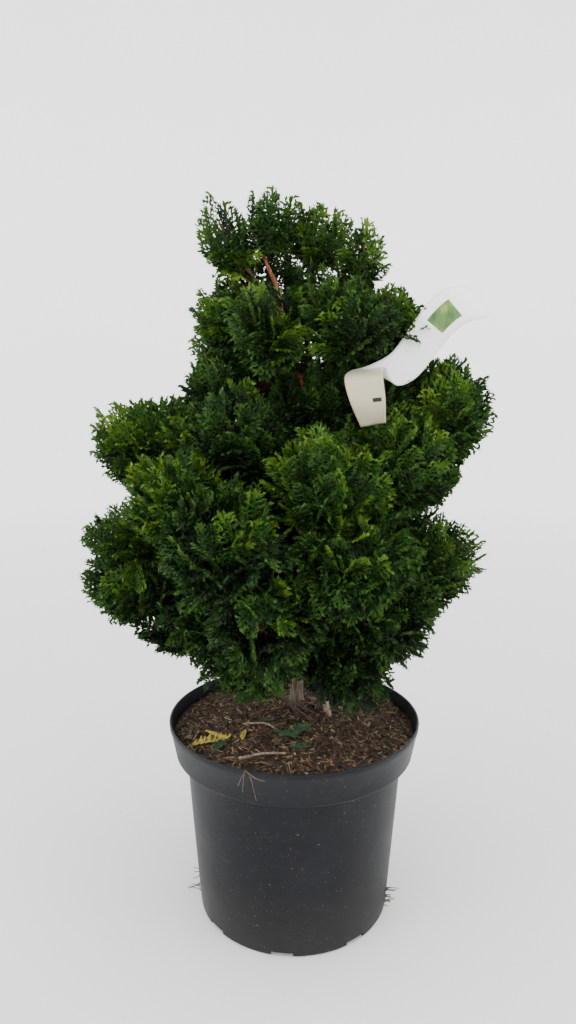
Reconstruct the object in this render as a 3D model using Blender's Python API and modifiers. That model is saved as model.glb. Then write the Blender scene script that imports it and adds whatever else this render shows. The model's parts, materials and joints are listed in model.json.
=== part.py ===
"""A dwarf hinoki cypress growing in a round nursery pot.

Metres, +Z up. The origin is on the pot's axis, on the flat underside that the pot stands on.
The front of the plant faces -Y.
"""

import math
import random
from collections import namedtuple

import bmesh
import bpy
from mathutils import Matrix, Vector, noise
from mathutils.bvhtree import BVHTree

# Clearance between solids that touch on the real plant
GAP = 0.0003
# Clearance between foliage and whatever it only passes by
LEAF_GAP = 0.0006
WELD = 1e-6

# Pot: a 26 cm, 7.5 litre nursery container
POT_HEIGHT = 0.204
RIM_RADIUS = 0.128
RIM_EDGE = 0.0014
BAND_FOOT_RADIUS = 0.1218
BAND_FOOT_HEIGHT = 0.1685
BAND_CORNER = 0.003
BODY_TOP_RADIUS = 0.1112
BASE_RADIUS = 0.0985
BASE_CORNER = 0.003
POT_WALL = 0.0022
POT_FLOOR = 0.003
POT_SEGMENTS = 40
SLOT_COUNT = 8
SLOT_FIRST_AZIMUTH = math.radians(-97)
SLOT_WIDTH = 0.022
SLOT_HEIGHT = 0.0048
SLOT_DEPTH = 0.011

# Potting soil: a low mound, level round the trunk, that ends below the rim
SOIL_EDGE_HEIGHT = 0.190
SOIL_MOUND_HEIGHT = 0.199
SOIL_FLAT_RADIUS = 0.042

# Trunk: key points of its centre line, with the radius there
TRUNK_KEYS = (
    ((0.003, 0.026, SOIL_MOUND_HEIGHT + GAP), 0.0098),
    ((0.003, 0.026, 0.207), 0.0074),
    ((0.004, 0.022, 0.240), 0.0066),
    ((0.010, 0.012, 0.300), 0.0060),
    ((0.026, -0.008, 0.380), 0.0052),
    ((0.044, -0.024, 0.440), 0.0044),
    ((0.050, -0.030, 0.478), 0.0038),
    ((0.036, -0.030, 0.498), 0.0035),
    ((0.010, -0.028, 0.534), 0.0031),
    ((-0.009, -0.018, 0.585), 0.0026),
    ((-0.015, -0.009, 0.622), 0.0021),
    ((-0.026, -0.002, 0.648), 0.0017),
    ((-0.031, 0.001, 0.660), 0.0014),
)
TRUNK_RESOLUTION = 2
TRUNK_STEPS = 2
FLARE_RIDGES = 4
FLARE_DEPTH = 0.20
FLARE_HEIGHT = 0.016

# Boughs taper from the trunk to the entry of their mass
BOUGH_ROOT_RADIUS = 0.0034
BOUGH_TIP_RADIUS = 0.0017
BOUGH_TRUNK_SHARE = 0.85
BOUGH_HANDLE_SHARE = 0.5
BOUGH_POINTS = 6
BOUGH_RESOLUTION = 1

# Masses of foliage. centre and half_sizes give the space of each: half its length along its
# growth, its width and its depth. Growth runs outwards from the pot's axis, sloped up by rise
# degrees. leaves is the height at which its bough or stem leaves the trunk, and None is the tip.
Mass = namedtuple("Mass", "name centre rise half_sizes leaves has_bough")
MASSES = (
    Mass("top_left", (-0.060, 0.000, 0.668), 60, (0.048, 0.036, 0.028), 0.606, False),
    Mass("top_tip", (-0.020, 0.004, 0.686), 84, (0.040, 0.032, 0.030), None, False),
    Mass("top_right", (0.022, 0.018, 0.676), 75, (0.042, 0.038, 0.036), 0.505, True),
    Mass("top_centre", (0.028, 0.004, 0.626), 60, (0.038, 0.038, 0.036), 0.585, False),
    Mass("right_spike", (0.060, -0.018, 0.648), 80, (0.044, 0.024, 0.022), 0.526, False),
    Mass("left_upper", (-0.060, -0.004, 0.602), 35, (0.038, 0.044, 0.042), 0.566, False),
    Mass("upper_centre", (-0.018, -0.048, 0.588), 60, (0.050, 0.040, 0.040), 0.552, False),
    Mass("upper_right", (0.046, -0.056, 0.592), 20, (0.048, 0.048, 0.040), 0.546, True),
    Mass("upper_right_tip", (0.088, -0.014, 0.594), 30, (0.044, 0.042, 0.036), 0.522, False),
    Mass("left_small", (-0.074, -0.004, 0.532), 40, (0.036, 0.040, 0.034), 0.500, False),
    Mass("left_shoulder_outer", (-0.152, 0.004, 0.482), 30, (0.048, 0.050, 0.048), 0.400, True),
    Mass("left_shoulder_inner", (-0.098, -0.012, 0.486), 30, (0.044, 0.048, 0.046), 0.430, False),
    Mass("left_bright", (-0.102, -0.083, 0.439), 20, (0.050, 0.052, 0.048), 0.366, True),
    Mass("left_tip", (-0.158, -0.004, 0.386), 6, (0.050, 0.046, 0.032), 0.340, True),
    Mass("left_low", (-0.150, -0.022, 0.346), 0, (0.056, 0.054, 0.040), 0.306, True),
    Mass("low_left_fringe", (-0.090, -0.044, 0.324), -10, (0.056, 0.058, 0.046), 0.316, False),
    Mass("front_left", (-0.062, -0.118, 0.404), 10, (0.052, 0.060, 0.058), 0.352, True),
    Mass("front_centre_left", (-0.024, -0.120, 0.346), -10, (0.052, 0.058, 0.056), 0.264, True),
    Mass("bottom_left", (-0.040, -0.056, 0.288), -25, (0.052, 0.056, 0.038), 0.248, False),
    Mass("centre_left", (-0.046, -0.048, 0.484), 40, (0.060, 0.058, 0.060), 0.415, False),
    Mass("centre", (-0.016, -0.052, 0.414), 20, (0.054, 0.060, 0.050), 0.394, False),
    Mass("front_right_plume", (0.028, -0.096, 0.450), 45, (0.066, 0.052, 0.052), 0.378, True),
    Mass("right_plume_outer", (0.134, -0.014, 0.498), 68, (0.078, 0.050, 0.044), 0.425, True),
    Mass("right_mid", (0.090, -0.064, 0.466), 40, (0.058, 0.056, 0.054), 0.400, True),
    Mass("right_lower_front", (0.050, -0.118, 0.394), 5, (0.052, 0.058, 0.056), 0.322, True),
    Mass("right_low_outer", (0.124, -0.006, 0.366), 15, (0.056, 0.058, 0.052), 0.312, True),
    Mass("right_low_front", (0.080, -0.080, 0.336), -5, (0.052, 0.054, 0.048), 0.294, True),
    Mass("bottom_right", (0.044, -0.064, 0.284), -20, (0.050, 0.052, 0.038), 0.238, False),
    Mass("back_top", (-0.022, 0.044, 0.636), 60, (0.052, 0.050, 0.040), 0.615, False),
    Mass("back_upper_left", (-0.050, 0.048, 0.560), 40, (0.058, 0.058, 0.054), 0.525, False),
    Mass("back_upper_right", (0.076, 0.040, 0.554), 45, (0.064, 0.060, 0.056), 0.480, False),
    Mass("back_left", (-0.102, 0.064, 0.460), 30, (0.060, 0.062, 0.060), 0.385, True),
    Mass("back_centre", (0.000, 0.076, 0.482), 35, (0.062, 0.064, 0.064), 0.410, False),
    Mass("back_right", (0.100, 0.066, 0.456), 30, (0.062, 0.062, 0.062), 0.368, True),
    Mass("back_low_left", (-0.096, 0.070, 0.358), 10, (0.060, 0.064, 0.058), 0.290, True),
    Mass("back_low_centre", (0.002, 0.088, 0.364), 5, (0.054, 0.066, 0.066), 0.302, False),
    Mass("back_low_right", (0.092, 0.076, 0.352), 10, (0.060, 0.064, 0.058), 0.278, True),
    Mass("bottom_back", (0.000, 0.076, 0.290), -20, (0.052, 0.066, 0.040), 0.250, False),
)

# Growth inside a mass
SEED = 7
GOLDEN_ANGLE = math.radians(137.5)
STEM_RESOLUTION = 0
STEM_ROOT_RADIUS = 0.0019
STEM_TIP_RADIUS = 0.0011
STEM_ENTRY = 0.75
STEM_REACH = 0.50
STEM_BEND = 0.015
STEM_POINTS = 5
STEM_FIRST_TWIG = 0.15
STEM_LAST_TWIG = 0.95
TWIG_ROOT_RADIUS = 0.0011
TWIG_TIP_RADIUS = 0.0007
SITES = 24
REARMOST_SITE = -0.70
SITE_REACH = 0.98
SPRAYS = 8
SPRAY_LENGTH = 0.050
SPRAY_SHARE = 1.15
SPRAY_OUTWARD = 0.50
SPRAY_FORWARD = 0.75
SPRAY_SINK = 0.20
SPRAY_THICKNESS = 0.06
SPRAY_CUP = 0.12
SPRAY_ROLL = math.radians(35)
SPRAY_LENGTH_RANGE = (0.9, 1.1)
TOOTH_RANGE = (0.92, 1.04)
# Outline of a spray about its middle, in spray lengths: tooth, notch, tooth and so on, from the
# tip back to the stalk
SPRAY_OUTLINE = (0.55, 0.37, 0.52, 0.34, 0.46, 0.45)
CORE_SIDES = 7
CORE_RINGS = 4
CORE_SHARE = 0.64
CORE_LUMPS = 0.14
CORE_LEAST = 0.006
CORE_SHRINK = 0.93
# How fast the lumps change from mass to mass, and round a core
LUMP_SPREAD = 40.0
LUMP_SCALE = 1.7
CELL_MARGIN = 0.05
SKIN_SLACK = 1.15
# Airy masses have no core, so that light shows through them
AIRY = ("top_tip", "top_right", "right_spike")

# Label: a bare plastic strip looped over the bough of the upper right mass. Each station has the
# middle of the strip, the direction of its width, and half that width.
LABEL_THICKNESS = 0.0008
LABEL_STATIONS = (
    ((0.066, -0.088, 0.506), (0.98, 0.05, 0.16), 0.0110),
    ((0.060, -0.096, 0.527), (0.98, 0.03, 0.10), 0.0150),
    ((0.057, -0.090, 0.546), (0.97, 0.05, 0.12), 0.0165),
    ((0.062, -0.074, 0.553), (0.93, 0.20, 0.10), 0.0165),
    ((0.076, -0.060, 0.548), (0.80, 0.20, -0.50), 0.0160),
    ((0.096, -0.052, 0.557), (0.70, 0.10, -0.66), 0.0160),
    ((0.113, -0.046, 0.578), (0.74, -0.10, -0.60), 0.0165),
    ((0.127, -0.046, 0.597), (0.66, -0.30, -0.62), 0.0180),
    ((0.143, -0.048, 0.610), (0.50, -0.40, -0.72), 0.0195),
    ((0.163, -0.050, 0.613), (0.40, -0.50, -0.74), 0.0195),
)
LABEL_STEPS = 2

# Plain colour and roughness of each kind of solid
COLOURS = {
    "pot": ((0.030, 0.032, 0.036), 0.55),
    "soil": ((0.060, 0.036, 0.020), 0.95),
    "bark": ((0.150, 0.060, 0.032), 0.85),
    "foliage": ((0.030, 0.090, 0.018), 0.65),
    "label": ((0.80, 0.79, 0.74), 0.40),
}
SHARP_ANGLE = math.radians(35)


def clear_scene():
    for obj in list(bpy.data.objects):
        bpy.data.objects.remove(obj, do_unlink=True)


def new_collection(name, parent):
    collection = bpy.data.collections.new(name)
    parent.children.link(collection)
    return collection


def remove_collection(collection):
    for obj in list(collection.objects):
        bpy.data.objects.remove(obj)
    bpy.data.collections.remove(collection)


def make_material(name):
    colour, roughness = COLOURS[name]
    material = bpy.data.materials.new(name)
    material.use_nodes = True
    shader = material.node_tree.nodes["Principled BSDF"]
    shader.inputs["Base Color"].default_value = (*colour, 1.0)
    shader.inputs["Roughness"].default_value = roughness
    shader.inputs["Metallic"].default_value = 0.0
    return material


def add_object(name, bm, collection):
    """A new object with the shape of a bmesh, which is freed."""
    mesh = bpy.data.meshes.new(name)
    bm.to_mesh(mesh)
    bm.free()
    obj = bpy.data.objects.new(name, mesh)
    collection.objects.link(obj)
    return obj


def shape_of(obj):
    bm = bmesh.new()
    bm.from_mesh(obj.data)
    return bm


def evaluated(obj):
    """The object's shape with its modifiers applied and its caps welded."""
    bpy.context.view_layer.update()
    graph = bpy.context.evaluated_depsgraph_get()
    mesh = bpy.data.meshes.new_from_object(obj.evaluated_get(graph))
    bm = bmesh.new()
    bm.from_mesh(mesh)
    bmesh.ops.remove_doubles(bm, verts=bm.verts, dist=WELD)
    bmesh.ops.recalc_face_normals(bm, faces=bm.faces)
    if bm.calc_volume(signed=True) < 0:
        bmesh.ops.reverse_faces(bm, faces=bm.faces)
    bpy.data.meshes.remove(mesh)
    return bm


def applied(obj):
    """The evaluated shape of an object, which is removed."""
    bm = evaluated(obj)
    bpy.data.objects.remove(obj)
    return bm


def islands(bm):
    """The faces of a mesh in groups that hang together."""
    left = set(bm.faces)
    while left:
        island, edge = [], [left.pop()]
        while edge:
            face = edge.pop()
            island.append(face)
            for side in face.edges:
                for other in side.link_faces:
                    if other in left:
                        left.discard(other)
                        edge.append(other)
        yield island


def largest_body(bm):
    """Keeps the largest closed body, without loose scraps and the walls of sealed hollows."""
    def size(island):
        corners = [corner.co for face in island for corner in face.verts]
        return (Vector(map(max, *corners)) - Vector(map(min, *corners))).length

    groups = sorted(islands(bm), key=size)
    scraps = [face for island in groups[:-1] for face in island]
    bmesh.ops.delete(bm, geom=scraps, context="FACES")
    return bm


def boolean(obj, operation, other):
    """The object joined with, or cut by, an object or all objects of a collection. The manifold
    solver steps in where the exact one leaves an edge without just two faces."""
    name, home = obj.name, obj.users_collection[0]
    modifier = obj.modifiers.new(operation.lower(), "BOOLEAN")
    modifier.operation = operation
    if isinstance(other, bpy.types.Collection):
        modifier.operand_type = "COLLECTION"
        modifier.collection = other
    else:
        modifier.object = other
    for solver in ("EXACT", "MANIFOLD"):
        modifier.solver = solver
        bm = largest_body(evaluated(obj))
        if all(edge.is_manifold for edge in bm.edges):
            break
    bpy.data.objects.remove(obj)
    return add_object(name, bm, home)


def swell(bm, by):
    """Moves a surface outwards by a clearance."""
    bm.normal_update()
    steps = [(vertex, vertex.normal * by) for vertex in bm.verts]
    for vertex, step in steps:
        vertex.co += step
    return bm


def cut_clear(obj, neighbour, by, cutters):
    """Cuts an object so that it keeps a clearance to its neighbour."""
    cutter = add_object("cutter", swell(shape_of(neighbour), by), cutters)
    cutter.display_type = "WIRE"
    cutter.hide_render = True
    cut = boolean(obj, "DIFFERENCE", cutter)
    bpy.data.objects.remove(cutter)
    return cut


def surface(bm):
    """A search tree of a shape's faces, which frees the shape."""
    bmesh.ops.triangulate(bm, faces=bm.faces)
    tree = BVHTree.FromBMesh(bm)
    bm.free()
    return tree


def crowded(bm, neighbours):
    """True if the shape comes within the leaf gap of a neighbour's surface."""
    tree = surface(swell(bm.copy(), LEAF_GAP))
    return any(tree.overlap(neighbour) for neighbour in neighbours)


def smooth_path(keys, steps):
    """A Catmull-Rom curve through key vectors, with so many steps from each key to the next."""
    ends = [2 * keys[0] - keys[1], *keys, 2 * keys[-1] - keys[-2]]
    path = []
    for a, b, c, d in zip(ends, ends[1:], ends[2:], ends[3:]):
        for i in range(steps):
            t = i / steps
            path.append(
                0.5 * (2 * b + (c - a) * t + (2 * a - 5 * b + 4 * c - d) * t**2
                       + (3 * b - a - 3 * c + d) * t**3)
            )
    path.append(keys[-1].copy())
    return path


def bent_path(start, handle, end, count):
    """A quadratic curve from start to end that leaves and arrives through the handle."""
    shares = [i / (count - 1) for i in range(count)]
    return [(1 - t) ** 2 * start + 2 * t * (1 - t) * handle + t**2 * end for t in shares]


def taper(first, last, count):
    return [first + (last - first) * i / (count - 1) for i in range(count)]


def tube(name, path, radii, resolution, collection):
    """A tapered tube along a path, with four sides and two more for each step of resolution."""
    curve = bpy.data.curves.new(name, "CURVE")
    curve.dimensions = "3D"
    curve.twist_mode = "MINIMUM"
    curve.use_fill_caps = True
    curve.bevel_depth = 1.0
    curve.bevel_resolution = resolution
    spline = curve.splines.new("POLY")
    spline.points.add(len(path) - 1)
    for point, place, radius in zip(spline.points, path, radii):
        point.co = (*place, 1.0)
        point.radius = radius
    obj = bpy.data.objects.new("curve", curve)
    collection.objects.link(obj)
    return add_object(name, applied(obj), collection)


def pot_profile():
    """Half the pot's section, from the middle of its inner floor, over the rim, to the underside."""
    slope = (BODY_TOP_RADIUS - BASE_RADIUS) / BAND_FOOT_HEIGHT
    inner_base = BASE_RADIUS - POT_WALL
    edge_height = POT_HEIGHT - RIM_EDGE
    inner = [
        (0.0, POT_FLOOR),
        (inner_base - BASE_CORNER, POT_FLOOR),
        (inner_base, POT_FLOOR + BASE_CORNER),
        (inner_base + slope * BAND_FOOT_HEIGHT, BAND_FOOT_HEIGHT),
        (BAND_FOOT_RADIUS - POT_WALL, BAND_FOOT_HEIGHT + POT_WALL),
        (RIM_RADIUS - POT_WALL, edge_height),
    ]
    rim = arc(RIM_RADIUS - POT_WALL / 2, edge_height, POT_WALL / 2, RIM_EDGE, (120, 60))
    band = arc(BAND_FOOT_RADIUS - BAND_CORNER, BAND_FOOT_HEIGHT + BAND_CORNER,
               BAND_CORNER, BAND_CORNER, (0, -90))
    base = arc(BASE_RADIUS - BASE_CORNER, BASE_CORNER, BASE_CORNER, BASE_CORNER, (0, -90))
    under_band = (BODY_TOP_RADIUS, BAND_FOOT_HEIGHT)
    return [*inner, *rim, (RIM_RADIUS, edge_height), *band, under_band, *base, (0.0, 0.0)]


def arc(middle, height, width, rise, degrees):
    """Points of an elliptic arc in a profile, at angles counted from straight out."""
    angles = [math.radians(value) for value in degrees]
    return [(middle + width * math.cos(a), height + rise * math.sin(a)) for a in angles]


def soil_profile():
    """Half the soil's section, which follows the inside of the pot one gap away."""
    slope = (BODY_TOP_RADIUS - BASE_RADIUS) / BAND_FOOT_HEIGHT
    base = BASE_RADIUS - POT_WALL - GAP
    band = BAND_FOOT_RADIUS - POT_WALL - 2 * GAP
    band_slope = (RIM_RADIUS - BAND_FOOT_RADIUS) / (POT_HEIGHT - BAND_FOOT_HEIGHT)
    shelf = BAND_FOOT_HEIGHT + POT_WALL + 2 * GAP
    return [
        (0.0, SOIL_MOUND_HEIGHT),
        (SOIL_FLAT_RADIUS, SOIL_MOUND_HEIGHT),
        (band + band_slope * (SOIL_EDGE_HEIGHT - shelf), SOIL_EDGE_HEIGHT),
        (band, shelf),
        (base + slope * BAND_FOOT_HEIGHT - GAP, BAND_FOOT_HEIGHT + 2 * GAP),
        (base, POT_FLOOR + BASE_CORNER),
        (base - BASE_CORNER, POT_FLOOR + GAP),
        (0.0, POT_FLOOR + GAP),
    ]


def turned(name, profile, collection):
    """A profile of radii and heights turned about the pot's axis."""
    mesh = bpy.data.meshes.new(name)
    points = [(radius, 0.0, height) for radius, height in profile]
    mesh.from_pydata(points, [(i, i + 1) for i in range(len(points) - 1)], [])
    obj = bpy.data.objects.new("profile", mesh)
    collection.objects.link(obj)
    screw = obj.modifiers.new("turn", "SCREW")
    screw.steps = screw.render_steps = POT_SEGMENTS
    screw.use_merge_vertices = True
    screw.merge_threshold = 0.00001
    return add_object(name, applied(obj), collection)


def make_pot(collection, cutters):
    pot = turned("pot", pot_profile(), collection)
    slots = new_collection("slots", cutters)
    for i in range(SLOT_COUNT):
        angle = SLOT_FIRST_AZIMUTH + math.tau * i / SLOT_COUNT
        bm = bmesh.new()
        bmesh.ops.create_cube(bm, size=1.0)
        size = Matrix.Diagonal((2 * SLOT_DEPTH, SLOT_WIDTH, 2 * SLOT_HEIGHT, 1.0))
        place = Matrix.Rotation(angle, 4, "Z") @ Matrix.Translation((BASE_RADIUS, 0.0, 0.0))
        bm.transform(place @ size)
        slot = add_object(f"slot_{i}", bm, slots)
        slot.display_type = "WIRE"
        slot.hide_render = True
    pot = boolean(pot, "DIFFERENCE", slots)
    remove_collection(slots)
    return pot


def trunk_line():
    """The trunk's smooth centre line and its radii."""
    path = smooth_path([Vector(place) for place, _ in TRUNK_KEYS], TRUNK_STEPS)
    radii = smooth_path([Vector((radius, 0.0, 0.0)) for _, radius in TRUNK_KEYS], TRUNK_STEPS)
    return path, [radius.x for radius in radii]


def trunk_at(height):
    """The point of the trunk's centre line at a height, and the trunk's radius there."""
    path, radii = trunk_line()
    for low, high, r_low, r_high in zip(path, path[1:], radii, radii[1:]):
        if low.z <= height <= high.z:
            share = (height - low.z) / (high.z - low.z)
            return low.lerp(high, share), r_low + (r_high - r_low) * share
    raise ValueError(f"the trunk does not reach {height}")


def make_trunk(collection):
    """A tapered tube whose foot swells into ridges and ends in a level cut."""
    path, radii = trunk_line()
    trunk = tube("trunk", path, radii, TRUNK_RESOLUTION, collection)
    foot = path[0]
    for vertex in trunk.data.vertices:
        fade = 1 - (vertex.co.z - foot.z) / FLARE_HEIGHT
        if fade > 0:
            across = Vector((vertex.co.x - foot.x, vertex.co.y - foot.y, 0.0))
            ridge = math.cos(FLARE_RIDGES * math.atan2(across.y, across.x))
            vertex.co += across * FLARE_DEPTH * ridge * fade
            vertex.co.z = max(vertex.co.z, foot.z)
    return trunk


class Space:
    """The ellipsoid that a mass keeps to."""

    def __init__(self, mass):
        self.mass = mass
        self.centre = Vector(mass.centre)
        out = Vector((self.centre.x, self.centre.y, 0.0)).normalized()
        rise = math.radians(mass.rise)
        self.along = out * math.cos(rise) + Vector((0.0, 0.0, math.sin(rise)))
        self.side = Vector((-out.y, out.x, 0.0))
        self.across = self.along.cross(self.side)
        turn = Matrix((self.along, self.side, self.across)).transposed()
        self.shape = turn @ Matrix.Diagonal(mass.half_sizes)
        self.inverse = self.shape.inverted()
        self.entry = self.centre - self.along * mass.half_sizes[0] * STEM_ENTRY
        self.stem_end = self.centre + self.along * mass.half_sizes[0] * STEM_REACH

    def depth_of(self, point):
        """0 at the centre of the space and 1 on its skin."""
        return (self.inverse @ (point - self.centre)).length

    def owns(self, point, spaces, margin):
        """True if the point is well inside this space and no other space has a stronger claim."""
        own = self.depth_of(point) + margin
        return all(own < other.depth_of(point) for other in spaces if other is not self)


def make_bough(space, trunk, collection, cutters):
    """One tapering limb, from the trunk to the near end of its mass's space."""
    start, trunk_radius = trunk_at(space.mass.leaves)
    end = space.entry
    handle = end - space.along * (end - start).length * BOUGH_HANDLE_SHARE
    root_radius = min(BOUGH_ROOT_RADIUS, BOUGH_TRUNK_SHARE * trunk_radius)
    path = bent_path(start, handle, end, BOUGH_POINTS)
    radii = taper(root_radius, BOUGH_TIP_RADIUS, BOUGH_POINTS)
    bough = tube(space.mass.name + "_bough", path, radii, BOUGH_RESOLUTION, collection)
    return cut_clear(bough, trunk, GAP, cutters)


def stem_path(space):
    """The stem's centre line, from its bough's tip or the trunk to well inside the mass."""
    if space.mass.has_bough:
        return [space.entry + space.along * GAP, space.centre, space.stem_end]
    if space.mass.leaves is None:
        below, tip = trunk_line()[0][-2:]
        onward = (tip - below).normalized()
        start = tip + onward * GAP
        return bent_path(start, start + onward * STEM_BEND, space.stem_end, STEM_POINTS)
    start, _ = trunk_at(space.mass.leaves)
    return bent_path(start, space.entry, space.stem_end, STEM_POINTS)


def make_stem(space, trunk, collection, cutters):
    path = stem_path(space)
    radii = taper(STEM_ROOT_RADIUS, STEM_TIP_RADIUS, len(path))
    stem = tube(space.mass.name, path, radii, STEM_RESOLUTION, collection)
    if space.mass.has_bough or space.mass.leaves is None:
        return stem
    return cut_clear(stem, trunk, GAP, cutters)


def lump_at(space, vertex):
    """The place in the noise field that shapes the core at one of its corners."""
    return space.centre * LUMP_SPREAD + vertex.co * LUMP_SCALE


def make_core(space, spaces, limbs, pieces, cutters):
    """A lumpy smaller ball, drawn in where another mass has the stronger claim, clear of limbs."""
    bm = bmesh.new()
    bmesh.ops.create_uvsphere(bm, u_segments=CORE_SIDES, v_segments=CORE_RINGS, radius=1.0)
    for vertex in bm.verts:
        skin = space.shape @ vertex.co
        share = CORE_SHARE * (1 + CORE_LUMPS * noise.noise(lump_at(space, vertex)))
        while share * skin.length > CORE_LEAST:
            if space.owns(space.centre + skin * share, spaces, CELL_MARGIN):
                break
            share *= CORE_SHRINK
        vertex.co = space.centre + skin * share
    core = add_object(space.mass.name + "_core", bm, pieces)
    for limb in limbs:
        shape = shape_of(core)
        if crowded(shape, [surface(shape_of(limb))]):
            core = cut_clear(core, limb, LEAF_GAP, cutters)
        shape.free()
    return core


def spray_shape(length, rng):
    """A toothed fan, its stalk at the origin and its tip along +X, thickest in the middle."""
    bm = bmesh.new()
    teeth = 2 * (len(SPRAY_OUTLINE) - 1)
    bmesh.ops.create_uvsphere(bm, u_segments=teeth, v_segments=2, radius=1.0)
    for vertex in bm.verts:
        if abs(vertex.co.z) > 0.5:
            vertex.co.z *= SPRAY_THICKNESS * length / 2
            continue
        step = round(abs(math.atan2(vertex.co.y, vertex.co.x)) / math.tau * teeth)
        vertex.co *= SPRAY_OUTLINE[step] * length * rng.uniform(*TOOTH_RANGE)
        vertex.co.z = -SPRAY_CUP * vertex.co.length_squared / length
    bmesh.ops.translate(bm, verts=bm.verts, vec=(SPRAY_OUTLINE[-1] * length, 0.0, 0.0))
    bmesh.ops.recalc_face_normals(bm, faces=bm.faces)
    return bm


def twig_shape(start, end):
    """A three-sided twig between two points."""
    bm = bmesh.new()
    bmesh.ops.create_cone(bm, cap_ends=True, segments=3, radius1=TWIG_ROOT_RADIUS,
                          radius2=TWIG_TIP_RADIUS, depth=(end - start).length)
    turn = (end - start).to_track_quat("Z", "Y").to_matrix().to_4x4()
    bm.transform(Matrix.Translation((start + end) / 2) @ turn)
    return bm


def growth_sites(space, spaces, rng):
    """The rule of growth. Sites for spray tips lie one golden angle apart round the mass's axis,
    evenly from its far end back to its shoulder, and those in another mass's space are left out."""
    sites = []
    turn = rng.uniform(0, math.tau)
    for i in range(SITES):
        forward = 1 - (i + 0.5) / SITES * (1 - REARMOST_SITE)
        around = math.sqrt(1 - forward**2)
        turn += GOLDEN_ANGLE
        toward = Vector((forward, around * math.cos(turn), around * math.sin(turn)))
        tip = space.centre + space.shape @ toward * SITE_REACH
        if space.owns(tip, spaces, 0.0):
            sites.append((forward, tip))
    return sites


def spray_on(space, forward, tip, rng):
    """A spray that ends at a site and lies half along the skin, with the twig that carries it."""
    outward = (tip - space.centre).normalized()
    axis = (outward * SPRAY_OUTWARD + space.along * SPRAY_FORWARD).normalized()
    length = min(SPRAY_LENGTH, SPRAY_SHARE * min(space.mass.half_sizes)) * rng.uniform(*SPRAY_LENGTH_RANGE)
    root = tip - axis * length
    across = Matrix.Rotation(rng.uniform(-SPRAY_ROLL, SPRAY_ROLL), 3, axis) @ axis.cross(outward)
    across.normalize()
    turn = Matrix((axis, across, axis.cross(across))).transposed().to_4x4()
    spray = spray_shape(length, rng)
    spray.transform(Matrix.Translation(root) @ turn)
    share = (1 + forward) / 2
    start = space.entry.lerp(space.stem_end,
                             STEM_FIRST_TWIG + (STEM_LAST_TWIG - STEM_FIRST_TWIG) * share)
    twig = twig_shape(start, root + axis * length * SPRAY_SINK)
    return spray, twig


def grow(space, spaces, neighbours, pieces):
    """Sprays with their twigs on an even choice of the sites. What touches a neighbour is skipped."""
    rng = random.Random(f"{SEED} {space.mass.name}")
    sites = growth_sites(space, spaces, rng)
    count = min(SPRAYS, len(sites))
    for i in range(count):
        forward, tip = sites[(2 * i + 1) * len(sites) // (2 * count)]
        spray, twig = spray_on(space, forward, tip, rng)
        inside = all(space.depth_of(vertex.co) < SKIN_SLACK for vertex in spray.verts)
        if inside and not crowded(spray, neighbours) and not crowded(twig, neighbours):
            add_object(f"spray_{i}", spray, pieces)
            add_object(f"twig_{i}", twig, pieces)
        else:
            spray.free()
            twig.free()


def make_label(collection):
    """A strip swept through its stations and made thick by Solidify."""
    middles = smooth_path([Vector(middle) for middle, _, _ in LABEL_STATIONS], LABEL_STEPS)
    halves = smooth_path([Vector(width).normalized() * half for _, width, half in LABEL_STATIONS],
                         LABEL_STEPS)
    last = len(middles) - 1
    bm = bmesh.new()
    bmesh.ops.create_grid(bm, x_segments=last, y_segments=1, size=1.0)
    for vertex in bm.verts:
        station = round((vertex.co.x + 1) / 2 * last)
        vertex.co = middles[station] + halves[station] * vertex.co.y
    label = add_object("strip", bm, collection)
    solidify = label.modifiers.new("thickness", "SOLIDIFY")
    solidify.thickness = LABEL_THICKNESS
    solidify.offset = 0.0
    return add_object("plant_label", applied(label), collection)


def main():
    clear_scene()
    parts = new_collection("hinoki_cypress", bpy.context.scene.collection)
    cutters = new_collection("cutters", bpy.context.scene.collection)
    cutters.hide_render = True

    pot = make_pot(parts, cutters)
    soil = turned("soil", soil_profile(), parts)
    trunk = make_trunk(parts)
    spaces = [Space(mass) for mass in MASSES]
    boughs = [
        make_bough(space, trunk, parts, cutters) for space in spaces if space.mass.has_bough
    ]
    label = make_label(parts)
    stems = [make_stem(space, trunk, parts, cutters) for space in spaces]

    wood = [trunk, *boughs, label]
    cores, pieces = {}, {}
    for space, stem in zip(spaces, stems):
        name = space.mass.name
        pieces[name] = new_collection(name + "_pieces", cutters)
        if name not in AIRY:
            limbs = [*wood, *(other for other in stems if other is not stem)]
            cores[name] = make_core(space, spaces, limbs, pieces[name], cutters)

    masses = []
    for i, space in enumerate(spaces):
        name = space.mass.name
        others = [*wood, pot, soil, *masses, *stems[i + 1:]]
        others += [core for owner, core in cores.items() if owner != name]
        grow(space, spaces, [surface(shape_of(obj)) for obj in others], pieces[name])
        cores.pop(name, None)
        masses.append(boolean(stems[i], "UNION", pieces[name]))
        remove_collection(pieces[name])
    remove_collection(cutters)

    kinds = {"pot": [pot], "soil": [soil], "bark": [trunk, *boughs], "foliage": masses,
             "label": [label]}
    for kind, solids in kinds.items():
        material = make_material(kind)
        for obj in solids:
            obj.data.materials.append(material)
    for obj in (pot, soil, trunk, *boughs):
        obj.data.shade_smooth()
        obj.data.set_sharp_from_angle(angle=SHARP_ANGLE)


main()
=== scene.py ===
"""The looks of a dwarf hinoki cypress in a round nursery pot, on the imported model's frame.

Metres, +Z up, the front of the plant towards -Y. Every mass of foliage is grown again by the
model's rule of growth, with finer twigs and with sprays of scale leaves, and three clumps of
inner growth fill gaps between the masses.
"""

import json
import math
import random
from collections import namedtuple

import bpy
import numpy as np
from mathutils import Matrix, Vector

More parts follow.
